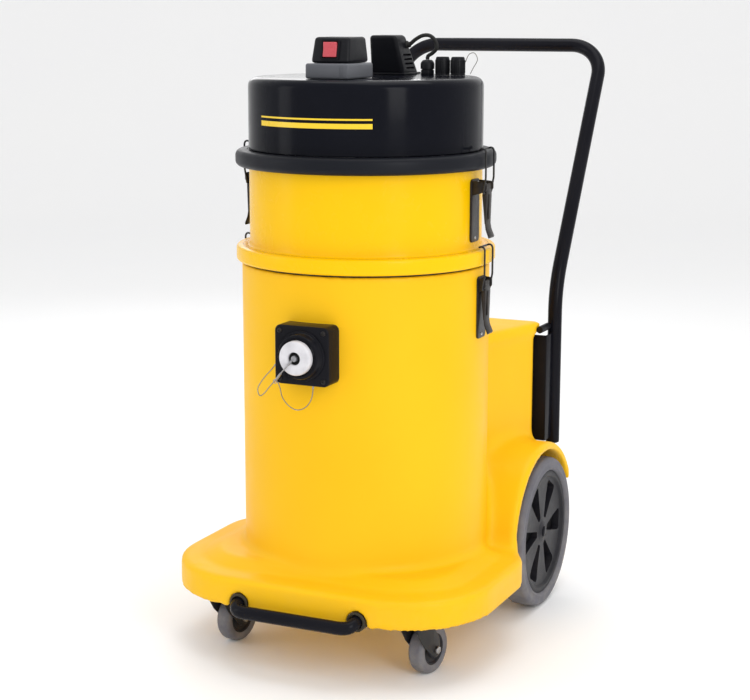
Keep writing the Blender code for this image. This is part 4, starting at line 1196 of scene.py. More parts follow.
def screw_head(radius: float, height: float) -> bmesh.types.BMesh:
    """A domed head with a hexagonal socket, standing on z = 0.

    Args:
        radius: Its radius.
        height: Its height.

    Returns:
        The solid.
    """
    socket = radius * 0.42
    profile = [(radius, -0.0004), (radius, height * 0.25), (radius * 0.93, height * 0.60),
               (radius * 0.76, height * 0.88), (radius * 0.55, height), (socket, height)]
    bm = lathe(profile + [(socket * 0.97, height * 0.45), (0.0, height * 0.40), (0.0, -0.0004)], 12)
    return bm


def rivet_head(radius: float, height: float) -> bmesh.types.BMesh:
    """A domed rivet head, standing on z = 0.

    Args:
        radius: Its radius.
        height: Its height.

    Returns:
        The solid.
    """
    dome = [(radius * math.cos(a), height * math.sin(a)) for a in (0.0, 0.35, 0.7, 1.05, 1.35)]
    return lathe([(0.0, -0.0004), (radius, -0.0004), *dome, (0.0, height)], 14)


def hex_nut(across: float, height: float) -> bmesh.types.BMesh:
    """A hexagon nut with chamfered corners, standing on z = 0.

    Args:
        across: Width across its flats.
        height: Its height.

    Returns:
        The solid.
    """
    corner = across / math.sqrt(3)
    return softened(prism(arc((0.0, 0.0), corner, 0.0, 360.0, 6)[:-1], -0.0004, height), across * 0.05, 2)


# ---------------------------------------------------------------- moulded body
@dataclass(frozen=True)
class Stack:
    """Radii and heights that the drum, chamber and head share."""

    drum: float = 0.192
    wall: float = 0.006
    bottom: float = 0.093
    skirt_top: float = 0.141
    floor: float = 0.156
    rim: float = 0.5985
    clamp: float = 0.2005
    chamber: float = 0.1795
    steel: float = 0.003
    flange: tuple[float, float] = (0.6013, 0.6250)
    chamber_top: float = 0.7458
    head_plate: float = 0.7486
    ring: tuple[float, float] = (0.7456, 0.7711)
    cover: tuple[float, float] = (0.7714, 0.8799)
    inlet_height: float = 0.485
    axle: tuple[float, float] = (0.222, 0.125)
    box_rear: float = 0.314
    box_top: float = 0.4615


STACK = Stack()


def smooth_min(a: np.ndarray, b: np.ndarray, reach: float) -> np.ndarray:
    """The lesser of two distances, with a round blend where they meet.

    Args:
        a: First distances.
        b: Second distances.
        reach: Size of the blend.

    Returns:
        The blended distances.
    """
    share = np.clip(0.5 + 0.5 * (b - a) / reach, 0.0, 1.0)
    return b + (a - b) * share - reach * share * (1.0 - share)


def smooth_max(a: np.ndarray, b: np.ndarray, reach: float) -> np.ndarray:
    """The greater of two distances, with a round blend where they meet.

    Args:
        a: First distances.
        b: Second distances.
        reach: Size of the blend.

    Returns:
        The blended distances.
    """
    return -smooth_min(-a, -b, reach)


class Grid:
    """A box of sample points, on which a solid is written as signed distances."""

    def __init__(self, low: Place, high: Place, cell: float) -> None:
        """Lays the samples.

        Args:
            low: Lowest corner.
            high: Highest corner.
            cell: Distance between samples.
        """
        self.low, self.cell = np.array(low, np.float64), cell
        axes = [np.arange(a, b + cell, cell, dtype=np.float32) for a, b in zip(low, high)]
        self.x, self.y, self.z = np.meshgrid(*axes, indexing="ij", sparse=True)
        self.size = tuple(len(axis) for axis in axes)

    def outline(self, points: Outline, across: str = "xy") -> np.ndarray:
        """Distance to a closed outline, less than zero inside it.

        Args:
            points: The outline.
            across: The two axes that it lies in.

        Returns:
            The distances, ready to combine with the other axis.
        """
        u, v = np.broadcast_arrays(getattr(self, across[0]), getattr(self, across[1]))
        u, v = u.astype(np.float64), v.astype(np.float64)
        best = np.full(u.shape, 1e9)
        inside = np.zeros(u.shape, bool)
        for (x0, y0), (x1, y1) in zip(points, points[1:] + points[:1]):
            ex, ey = x1 - x0, y1 - y0
            along = np.clip(((u - x0) * ex + (v - y0) * ey) / max(ex * ex + ey * ey, 1e-12), 0.0, 1.0)
            best = np.minimum(best, (u - x0 - along * ex) ** 2 + (v - y0 - along * ey) ** 2)
            if y0 != y1:
                inside ^= ((y0 > v) != (y1 > v)) & (u < ex * (v - y0) / ey + x0)
        return np.where(inside, -np.sqrt(best), np.sqrt(best)).astype(np.float32)

    def slab(self, values: np.ndarray, low: float, high: float) -> np.ndarray:
        """Distance to the space between two values.

        Args:
            values: Where each sample is along the slab's axis.
            low: Lower face.
            high: Upper face.

        Returns:
            The distances.
        """
        return np.maximum(low - values, values - high)

    def rod(self, axis: str, centre: tuple[float, float], radius: float) -> np.ndarray:
        """Distance to an endless round bar.

        Args:
            axis: The axis it lies along.
            centre: Where it crosses the other two.
            radius: Its radius.

        Returns:
            The distances.
        """
        first, second = {"x": (self.y, self.z), "y": (self.x, self.z), "z": (self.x, self.y)}[axis]
        return np.sqrt((first - centre[0]) ** 2 + (second - centre[1]) ** 2) - radius

    def surface(self, field: np.ndarray) -> bmesh.types.BMesh:
        """The skin where the distances cross zero, as one vertex in each cell that it passes.

        Args:
            field: Signed distances at every sample.

        Returns:
            A closed mesh of quads.
        """
        inside = field < 0.0
        nx, ny, nz = field.shape
        corners = [(i, j, k) for i in (0, 1) for j in (0, 1) for k in (0, 1)]

        def at(values: np.ndarray, c: tuple[int, int, int]) -> np.ndarray:
            """Each cell's value at one of its corners."""
            return values[c[0]:nx - 1 + c[0], c[1]:ny - 1 + c[1], c[2]:nz - 1 + c[2]]

        count = sum(at(inside, c).astype(np.int8) for c in corners)
        cells = np.argwhere((count > 0) & (count < 8))
        number = np.full((nx - 1, ny - 1, nz - 1), -1, np.int64)
        number[tuple(cells.T)] = np.arange(len(cells))
        values = {c: at(field, c)[tuple(cells.T)].astype(np.float64) for c in corners}
        total, hits = np.zeros((len(cells), 3)), np.zeros(len(cells))
        for c in corners:
            for axis in range(3):
                if c[axis]:
                    continue
                d = tuple(c[i] + (i == axis) for i in range(3))
                a, b = values[c], values[d]
                crossed = (a < 0.0) != (b < 0.0)
                spot = np.repeat(np.array([c], float), len(cells), 0)
                spot[:, axis] = np.where(crossed, a / np.where(crossed, a - b, 1.0), 0.0)
                total += spot * crossed[:, None]
                hits += crossed
        points = self.low + (cells + total / hits[:, None]) * self.cell
        faces = []
        for axis in range(3):
            b_axis, c_axis = (axis + 1) % 3, (axis + 2) % 3
            ahead = np.take(inside, range(1, field.shape[axis]), axis)
            here = np.take(inside, range(field.shape[axis] - 1), axis)
            edges = np.argwhere(here != ahead)
            edges = edges[(edges[:, b_axis] > 0) & (edges[:, c_axis] > 0)]
            step_b, step_c = np.eye(3, dtype=int)[b_axis], np.eye(3, dtype=int)[c_axis]
            ring = [edges - step_b - step_c, edges - step_c, edges, edges - step_b]
            quad = np.stack([number[tuple(spot.T)] for spot in ring], 1)
            outward = here[tuple(edges.T)]
            faces.append(np.where(outward[:, None], quad, quad[:, ::-1]))
        mesh = bpy.data.meshes.new("skin")
        mesh.from_pydata(points.tolist(), [], np.concatenate(faces).tolist())
        bm = bmesh.new()
        bm.from_mesh(mesh)
        bpy.data.meshes.remove(mesh)
        return bm


@dataclass(frozen=True)
class MouldedBody:
    """The one-piece moulding: skirt, container, rear box and wheel arches, flowing into each other."""

    cell: float = 0.0045
    hollow_wall: float = 0.0095
    half_width: float = 0.258
    front: float = -0.245
    skirt_corner: float = 0.140
    fender_corner: float = 0.075
    rim_edge: float = 0.1365
    ledge_rise: float = 0.0150
    arch: float = 0.137
    arch_wall: float = 0.013
    arch_lip: float = 0.226
    well: float = 0.176
    box_half_width: float = 0.181
    box_front_half_width: float = 0.118
    box_cap: float = 0.444
    cap_lip: float = 0.013
    hump: tuple[float, float] = (0.355, 0.238)
    drum_blend: float = 0.013
    box_blend: float = 0.028
    arch_blend: float = 0.024

    def skirt_plan(self, inset: float = 0.0) -> Outline:
        """Plan of the skirt, round at the front and drawn in to the wheel wells.

        Args:
            inset: How far inside the outer line.

        Returns:
            The outline.
        """
        back = STACK.axle[0] - self.arch - inset
        return rounded(mirrored([
            (self.half_width - inset, self.front + inset, self.skirt_corner - inset),
            (self.half_width - inset, back, self.fender_corner),
            (self.well - inset, back, 0.0),
            (self.well - inset, self.hump[0] - inset, 0.030)]), 14)

    def box_plan(self, rear: float, half_width: float, corner: float) -> Outline:
        """Plan of the rear box, wider towards the back.

        Args:
            rear: Its rear wall.
            half_width: Half its width there.
            corner: Its rear corner radius.

        Returns:
            The outline.
        """
        return rounded(mirrored([(self.box_front_half_width, 0.10, 0.0), (half_width, rear, corner)]), 8)

    def outside(self, grid: Grid) -> np.ndarray:
        """Distances to the outer skin.

        Args:
            grid: The samples.

        Returns:
            The distances.
        """
        plan = grid.outline(self.skirt_plan())
        rise = np.interp(-plan, (0.0, 0.034, 0.040, 0.062), (0.0, 0.22, 0.42, 1.0)).astype(np.float32)
        ledge = self.rim_edge + self.ledge_rise * rise
        skirt = np.maximum(smooth_max(plan, grid.z - ledge, 0.008), STACK.bottom - grid.z)
        drum = np.maximum(grid.rod("z", (0.0, 0.0), STACK.drum), grid.slab(grid.z, 0.115, STACK.rim))
        body = smooth_min(skirt, drum, self.drum_blend)
        box = np.maximum(grid.outline(self.box_plan(STACK.box_rear, self.box_half_width, 0.022)),
                         grid.slab(grid.z, 0.12, self.box_cap + 0.004))
        body = smooth_min(body, box, self.box_blend)
        hump = smooth_max(np.maximum(np.abs(grid.x) - self.well + 0.002,
                                     grid.slab(grid.y, 0.15, self.hump[0] - 0.004)),
                          grid.slab(grid.z, 0.12, self.hump[1]), 0.020)
        body = smooth_min(body, hump, 0.022)
        radius = self.arch + self.arch_wall
        fender = smooth_max(grid.rod("x", STACK.axle, radius),
                            grid.slab(np.abs(grid.x), self.well - 0.060, self.arch_lip), 0.008)
        fender = np.maximum(fender, np.maximum(STACK.bottom + 0.001 - grid.z, grid.y - self.hump[0] + 0.006))
        body = smooth_min(body, fender, self.arch_blend)
        cap_plan = self.box_plan(STACK.box_rear + self.cap_lip, self.box_half_width + 0.004, 0.016)
        cap = smooth_max(grid.outline(cap_plan), grid.slab(grid.z, self.box_cap, STACK.box_top), 0.008)
        body = smooth_min(body, cap, 0.010)
        return np.maximum(body, STACK.bottom - grid.z)

    def hollows(self, grid: Grid) -> list[np.ndarray]:
        """Distances to what is open.

        Args:
            grid: The samples.

        Returns:
            One field for each hollow.
        """
        wall = self.hollow_wall
        behind = STACK.drum + 0.003
        box = [(x, max(y, behind)) for x, y in self.box_plan(STACK.box_rear - wall,
                                                             self.box_half_width - wall - 0.009,
                                                              0.012)]
        hump = np.maximum(np.abs(grid.x) - self.well + wall, grid.slab(grid.y, behind,
                                                                       self.hump[0] - 0.004 - wall))
        found = [
            np.maximum(grid.rod("z", (0.0, 0.0), STACK.drum - wall), STACK.floor - grid.z),
            np.maximum(grid.outline(self.skirt_plan(wall)), grid.z - self.rim_edge + wall),
            np.maximum(grid.outline(box), grid.slab(grid.z, 0.12, self.box_cap - wall)),
            np.maximum(hump, grid.slab(grid.z, 0.12, self.hump[1] - wall)),
            np.maximum(grid.rod("y", (0.0, STACK.inlet_height), 0.0205), grid.slab(grid.y, -0.25, -0.14)),
            grid.rod("x", STACK.axle, 0.0083)]
        wells = np.maximum(grid.rod("x", STACK.axle, self.arch), self.well - np.abs(grid.x))
        beside = np.sqrt((np.abs(grid.x) - 0.098) ** 2 + (grid.z - 0.1005) ** 2) - 0.0153
        notches = np.maximum(beside, grid.slab(grid.y, -0.26, -0.225))
        studs = np.sqrt((np.abs(grid.x) - 0.182) ** 2 + (grid.z - STACK.box_top + 0.0115) ** 2) - 0.0063
        return found + [wells, notches, np.maximum(studs, grid.slab(grid.y, 0.302, 0.36))]

    def build(self, shop: Workshop) -> None:
        """Makes the moulding.

        Args:
            shop: The workshop.
        """
        grid = Grid((-0.270, -0.258, 0.084), (0.270, 0.368, 0.606), self.cell)
        field = self.outside(grid)
        for hollow in self.hollows(grid):
            field = smooth_max(field, -hollow, 0.003)
        bosses = np.maximum(grid.slab(np.abs(grid.x), 0.132, 0.196), grid.slab(grid.y, -0.207, -0.133))
        bosses = np.maximum(bosses, grid.slab(grid.z, 0.1036, STACK.skirt_top - 0.003))
        field = smooth_min(field, bosses, 0.004)
        shop.piece("body_moulding", grid.surface(field), Palette.MOULDED, "chassis", ["chassis_body"],
                   sharp=180.0)
        shop.coat(Palette.RUBBER, "container_seal")


# ---------------------------------------------------------------- inlet
@dataclass(frozen=True)
class Inlet:
    """The square flange with its collar and screws, the white plug and its wire lanyard."""

    half: float = 0.044
    corner: float = 0.009
    face: float = -0.222
    collar: float = 0.034
    rise: float = 0.013
    bore: float = 0.0205
    plug_face: float = 0.011
    wire: float = 0.0008
    link: float = 0.0011

    def route(self) -> list[Vector]:
        """Centre line of the lanyard, from the side of the plate to its lower edge.

        Returns:
            Its points.
        """
        edge = self.half + 0.0003
        spots = [(-edge, 0.012, -0.0170), (-edge - 0.004, 0.011, -0.0185), (-0.055, 0.009, -0.027),
                 (-0.067, 0.007, -0.041), (-0.076, 0.006, -0.056), (-0.072, 0.004, -0.0665),
                 (-0.062, 0.000, -0.061), (-0.049, -0.006, -0.048), (-0.034, -0.015, -0.037),
                 (-0.0305, -0.010, -0.048), (-0.033, 0.002, -0.065), (-0.0265, 0.010, -0.079),
                 (-0.0145, 0.014, -0.085), (-0.0005, 0.015, -0.079), (0.009, 0.014, -0.0655),
                 (0.0118, 0.014, -edge - 0.004), (0.012, 0.014, -edge)]
        return smooth_route([(x, self.face + y, STACK.inlet_height + z) for x, y, z in spots], 0.0023)

    def flange(self, shop: Workshop) -> None:
        """Makes the plate, its collar and its screws.

        Args:
            shop: The workshop.
        """
        z = STACK.inlet_height
        square = rectangle(self.half, z - self.half, z + self.half, self.corner, 8)
        plate = softened(prism(square, self.face, -STACK.drum + 0.025, "Y"), 0.0022, 3, 50.0)
        saddle = moved(lathe([(0.0, -0.06), (STACK.drum + 0.0026, -0.06), (STACK.drum + 0.0026, 0.06),
                              (0.0, 0.06)],
                             160), shift(z=z))
        bore = moved(lathe([(0.0, -0.3), (self.bore, -0.3), (self.bore, 0.0), (0.0, 0.0)], TURN_SMALL, "Y"),
                     shift(z=z))
        plate = shop.cut(plate, saddle, bore)
        front = -self.face
        steps = [(self.bore, front - 0.004), (self.collar + 0.0045, front - 0.004),
                 (self.collar + 0.0045, front + 0.0015),
                 (self.collar + 0.0036, front + 0.0030), (self.collar + 0.0012, front + 0.0034),
                 (self.collar, front + 0.0048), (self.collar - 0.0004, front + 0.0105),
                 (self.collar - 0.0020, front + 0.0128), (self.collar - 0.0035, front + self.rise),
                 (0.0290, front + self.rise), (0.0282, front + 0.0122), (0.0274, front + 0.0122),
                 (0.0266, front + self.rise), (self.bore + 0.001, front + self.rise),
                 (self.bore, front + self.rise - 0.001)]
        collar = moved(lathe([(r, -h) for r, h in steps], TURN_MEDIUM, "Y"), shift(z=z))
        shop.piece("inlet_flange", merged(plate, collar), Palette.GLOSS_BLACK, "chassis", ["inlet_plate"])
        reach = self.half - 0.0085
        spots = [((sx * reach, self.face, z + sz * reach), (0, -1, 0)) for sx in (-1, 1) for sz in (-1, 1)]
        shop.piece("inlet_screws", shop.fixings(spots, screw_head(0.0038, 0.0021), Palette.LATCH),
                   Palette.LATCH,
                   "chassis")
        shop.coat(Palette.RUBBER, "inlet_gasket")
        shop.coat(Palette.ZINC, "inlet_deflector")

    def plug(self, shop: Workshop) -> None:
        """Makes the white plug, its stud, the stiff link that holds it to the lanyard, and a black lining in
        its recess that paints the hole's shade.

        Args:
            shop: The workshop.
        """
        seat = -self.face + self.rise + 0.0003
        profile = [(0.0, 0.0028), (0.0070, 0.0028), (0.0086, 0.0034), (0.0093, 0.0050), (0.0093, 0.0098),
                   (0.0099, 0.0108), (0.0112, self.plug_face), (0.0205, self.plug_face), (0.0226, 0.0106),
                   (0.0243, 0.0096), (0.0253, 0.0080), (0.0255, 0.0062), (0.0255, 0.0012), (0.0247, 0.0002),
                   (0.0195, 0.0), (0.0190, -0.0195), (0.0175, -0.0215), (0.0, -0.0215)]
        height = shift(y=0.0, z=STACK.inlet_height)
        shop.piece("inlet_plug_cap", moved(lathe([(r, -h - seat) for r, h in profile], 80, "Y"), height),
                   Palette.WHITE, "inlet_plug", ["inlet_cap"])
        # A thin black lining in the cap's front recess paints the shade of the hole.
        recess = [(0.0, 0.0030), (0.0090, 0.0030), (0.0091, 0.0085), (0.0085, 0.0085), (0.0082, 0.0042),
                  (0.0055, 0.0036), (0.0, 0.0036)]
        shop.piece("inlet_plug_socket", moved(lathe([(r, -h - seat) for r, h in recess], TURN_SMALL, "Y"),
                                              height),
                   Palette.RUBBER, "inlet_plug")
        stud = [(0.0, 0.0040), (0.0045, 0.0040), (0.0047, 0.0062), (0.0047, 0.0110), (0.0040, 0.0124),
                (0.0022, 0.0130),
                (0.0, 0.0130)]
        front = self.face - self.rise - 0.0003 - self.plug_face - 0.0023
        start = Vector((0.0, front, STACK.inlet_height))
        bend = Vector((-0.019, front, STACK.inlet_height - 0.021))
        end = Vector((-0.0326, front + 0.0075, STACK.inlet_height - 0.0354))
        line = smooth_route([start, start.lerp(bend, 0.5), bend, bend.lerp(end, 0.5), end], 0.0015)
        link = shop.wire(line, self.link * 0.8, Palette.STUD, WIRE_SIDES)
        sleeve = shop.wire([bend.lerp(end, t) for t in (0.15, 0.4, 0.7, 1.0)], self.link * 1.7,
                           Palette.STUD, 14)
        grip = shop.wire([start.lerp(bend, t) for t in (0.10, 0.28, 0.45)], self.link * 1.5, Palette.STUD, 14)
        eye_centre = end + (end - bend).normalized() * 0.0030
        aim = (end - bend).normalized()
        side = aim.cross(Vector((0.0, 1.0, 0.0))).normalized()
        eye = [eye_centre + aim * 0.0030 * math.cos(a) + side * 0.0028 * math.sin(a)
               for a in np.linspace(0.0, 2 * math.pi, 24, endpoint=False)]
        ring = shop.wire(eye, 0.0006, Palette.STUD, 10, closed=True)
        post = moved(lathe([(r, -h - seat) for r, h in stud], TURN_TINY, "Y"), height)
        shop.piece("inlet_plug_link", merged(post, link, sleeve, grip, ring), Palette.STUD, "inlet_plug")

    def lanyard(self, shop: Workshop) -> None:
        """Makes the wire rope, with a ferrule at each end.

        Args:
            shop: The workshop.
        """
        line = self.route()
        cord = shop.piece("inlet_wire_rope", shop.wire(line, self.wire, Palette.STRAND, 10), Palette.STRAND,
                          "chassis", ["inlet_lanyard"])
        ends = [shop.wire(line[:4], self.wire * 1.7, Palette.STUD, WIRE_SIDES),
                shop.wire(line[-4:], self.wire * 1.7,
                                                                                Palette.STUD, WIRE_SIDES)]
        ferrules = shop.piece("inlet_wire_ferrules", merged(*ends), Palette.STUD, "chassis")

    def build(self, shop: Workshop) -> None:
        """Makes the whole inlet.

        Args:
            shop: The workshop.
        """
        self.flange(shop)
        self.plug(shop)
        self.lanyard(shop)


# ---------------------------------------------------------------- filter chamber
@dataclass(frozen=True)
class FilterChamber:
    """The painted steel chamber, its cartridge and the bag in the container below."""

    pleats: int = 54
    pleat_depth: float = 0.011

    def shell(self, shop: Workshop) -> None:
        """Makes the chamber wall with its rolled clamp flange, and two black rings that paint the shade in
        the flange's creases.

        Args:
            shop: The workshop.
        """
        outer, inner = STACK.chamber, STACK.chamber - STACK.steel
        low, high = STACK.flange
        edge = 0.0045
        rim = STACK.clamp
        profile = [(inner, low), (rim - edge, low), *arc((rim - edge, low + edge), edge, -75, 0, 6),
                   *arc((rim - edge, high - edge), edge, 0, 80, 6), (outer + 0.0045, high + 0.0004),
                   *arc((outer + 0.0036, high + 0.0036), 0.0036, 265, 180, 5),
                   (outer, high + 0.020), (outer, STACK.chamber_top - 0.030),
                   (outer, STACK.chamber_top - 0.0010),
                   (outer - 0.001, STACK.chamber_top), (inner + 0.001, STACK.chamber_top),
                   (inner, STACK.chamber_top - 0.001), (inner, STACK.chamber_top - 0.018),
                   (inner - 0.012, STACK.chamber_top - 0.018), (inner - 0.012, STACK.chamber_top - 0.021),
                   (inner, STACK.chamber_top - 0.021)]
        shop.piece("chamber_shell", lathe(profile, TURN_LARGE), Palette.PAINTED, "chamber",
                   ["filter_chamber"])
        # Two thin black rings paint shade: one under the flange where it meets the drum, one on its top by
        # the roll.
        for name, height, radius in (("chamber_groove_low", low - 0.0004, rim - 0.0070),
                                     ("chamber_groove_high", high - 0.0004, rim - 0.0105)):
            ring = [(radius - 0.002, height - 0.0006), (radius, height - 0.0006), (radius + 0.0004, height),
                    (radius, height + 0.0006), (radius - 0.002, height + 0.0006)]
            shop.piece(name, lathe(ring, TURN_LARGE), Palette.RUBBER, "chamber")
        shop.coat(Palette.RUBBER, "chamber_seal")
        shop.coat(Palette.BLACK, "filter_ring")

    def cartridge(self, shop: Workshop) -> None:
        """Makes the pleated felt cartridge with its end cap and flange.

        Args:
            shop: The workshop.
        """
        hole = STACK.chamber - STACK.steel - 0.060
        outer, rim, low = hole - 0.002, STACK.chamber_top - 0.018 + 0.0106, STACK.inlet_height + 0.045
        steps = np.linspace(low + 0.013, rim - 0.013, 9)
        wall = [(outer - 0.0195, low + 0.012), (outer - 0.001, low + 0.012),
                *[(outer - 0.001, float(z)) for z in steps],
                (outer - 0.001, rim - 0.012), (outer - 0.0195, rim - 0.012)]
        folded = shop.trees.pleats.bake(lathe(wall, self.pleats * 8), Palette.FELT, Pleats=self.pleats,
                                        Depth=self.pleat_depth, Low=low + 0.0125, High=rim - 0.0125,
                                        Core=outer - 0.010)
        shop.piece("cartridge_pleats", folded, Palette.FELT, "chamber", ["filter_cartridge"],
                   sharp=180.0)
        foot = [(0.0, low), (outer - 0.004, low), (outer, low + 0.003), (outer, low + 0.014),
                (outer - 0.002, low + 0.0155),
                (outer - 0.004, low + 0.0125), (0.0, low + 0.0122)]
        top = [(outer - 0.020, rim - 0.014), (outer - 0.003, rim - 0.015), (outer, rim - 0.012), (outer, rim),
               (outer + 0.012, rim), (outer + 0.012, rim + 0.003), (outer + 0.011, rim + 0.004),
               (outer - 0.0195, rim + 0.004)]
        shop.piece("cartridge_ends", merged(lathe(foot, TURN_MEDIUM), lathe(top, TURN_MEDIUM)),
                   Palette.RUBBER, "chamber")

    def bag(self, shop: Workshop) -> None:
        """Makes the filled fleece bag, gathered into folds at its top.

        Args:
            shop: The workshop.
        """
        radius, low = STACK.drum - STACK.wall - 0.018, STACK.floor + 0.001
        high = STACK.inlet_height - 0.070
        profile = smooth_route([(0.0, 0.0, low), (radius * 0.5, 0.0, low), (radius - 0.028, 0.0, low + 0.003),
                                (radius - 0.003, 0.0, low + 0.040), (radius, 0.0, low + 0.12),
                                (radius - 0.010, 0.0, high - 0.045), (radius - 0.050, 0.0, high - 0.012),
                                (0.030, 0.0, high - 0.006), (0.0, 0.0, high - 0.004)], 0.006)
        bm = lathe([(max(p.x, 0.0) if p.x > 1e-6 else 0.0, p.z) for p in profile], 144, closed=False)
        span = high - low
        for vert in bm.verts:
            angle = math.atan2(vert.co.y, vert.co.x)
            distance = math.hypot(vert.co.x, vert.co.y)
            if distance < 1e-4:
                continue
            level = (vert.co.z - low) / span
            gather = max(0.0, level - 0.45) / 0.55
            folds = 0.5 + 0.5 * math.sin(23 * angle + 1.7 * math.sin(3 * angle) + 4.0 * level)
            sway = math.sin(5 * angle + 6.0 * level) + 0.6 * math.sin(8 * angle - 9.0 * level)
            pull = 0.0075 * gather * folds + 0.0013 * (1.6 + sway) * min(1.0, distance / radius)
            vert.co.x -= pull * math.cos(angle)
            vert.co.y -= pull * math.sin(angle)
        bag = shop.piece("container_bag", bm, Palette.PAPER, "chassis", ["dust_bag"],
                         sharp=180.0)

    def build(self, shop: Workshop) -> None:
        """Makes the chamber and what it holds.

        Args:
            shop: The workshop.
        """
        self.shell(shop)
        self.cartridge(shop)
        self.bag(shop)


# ---------------------------------------------------------------- head
@dataclass(frozen=True)
class Head:
    """The grey clamp ring, the gloss dome with its plain stripes, and the two motors."""

    edge: float = 0.009
    dome_edge: float = 0.014
    dome_wall: float = 0.0025
    motor_spacing: float = 0.080
    stripe_from: float = -34.0
    stripe_to: float = 28.0
    stripes: tuple[tuple[float, float], ...] = ((0.8115, 0.8190), (0.8235, 0.8260))

    def ring(self, shop: Workshop) -> None:
        """Makes the clamp ring with its motor plate.

        Args:
            shop: The workshop.
        """
        low, high = STACK.ring
        rim, lip = STACK.clamp, STACK.chamber + 0.003
        floor = STACK.head_plate
        profile = [(0.0, floor), (lip - 0.001, floor), (lip, floor - 0.001), (lip, low),
                   (rim - self.edge, low),
                   *arc((rim - self.edge, low + self.edge), self.edge, -80, 0, CORNER_STEPS),
                   *arc((rim - self.edge, high - self.edge), self.edge, 0, 80, CORNER_STEPS),
                   (STACK.chamber + 0.0035, high), (STACK.chamber + 0.0020, high - 0.0012),
                   (STACK.chamber - 0.0034, high - 0.0012), (STACK.chamber - 0.004, high - 0.0018),
                   (STACK.chamber - 0.004, floor + 0.0070), (STACK.chamber - 0.005, floor + 0.006),
                   (0.0, floor + 0.006)]
        holes = [moved(lathe([(0.0, floor - 0.02), (0.024, floor - 0.02), (0.024, floor + 0.02),
                              (0.0, floor + 0.02)],
                             TURN_SMALL), shift(y=y)) for y in (-self.motor_spacing, self.motor_spacing)]
        ring = shop.cut(lathe(profile, TURN_LARGE), *holes)
        shop.piece("clamp_ring", ring, Palette.CLAMP, "head", ["head_base"])

    def dome(self, shop: Workshop) -> None:
        """Makes the dome and its stripes.

        Args:
            shop: The workshop.
        """
        low, high = STACK.cover
        outer = STACK.chamber + 0.0005
        inner = outer - self.dome_wall
        centre = (outer - self.dome_edge, high - self.dome_edge)
        over = arc(centre, self.dome_edge, 0, 90, 12)
        under = arc(centre, self.dome_edge - self.dome_wall, 90, 0, CORNER_STEPS)
        crown = [(0.110, high), (0.0, high), (0.0, high - self.dome_wall), (0.110, high - self.dome_wall)]
        profile = [(inner, low), (outer - 0.0008, low), (outer, low + 0.0008), (outer, low + 0.045), *over,
                   *crown, *under,
                   (inner, low + 0.045)]
        shop.piece("dome_shell", lathe(profile, 256), Palette.DOME, "head", ["motor_cover"])
        bands = []
        for z0, z1 in self.stripes:
            skin = outer + 0.00025
            turns = [math.radians(self.stripe_from + (self.stripe_to - self.stripe_from) * k / 96 - 90)
                     for k in range(97)]
            outline = [(skin * math.cos(a), skin * math.sin(a)) for a in turns]
            outline += [((skin - 0.0008) * math.cos(a),
                         (skin - 0.0008) * math.sin(a)) for a in reversed(turns)]
            bands.append(prism(outline, z0, z1))
        shop.piece("dome_stripes", merged(*bands), Palette.STRIPE, "head")

    def build(self, shop: Workshop) -> None:
        """Makes the head and coats the motors.

        Args:
            shop: The workshop.
        """
        self.ring(shop)
        self.dome(shop)
        shop.coat(Palette.DRAWN, "motor_front", "motor_rear")
        shop.coat(Palette.ZINC, "fan_rotor_front", "fan_rotor_rear")


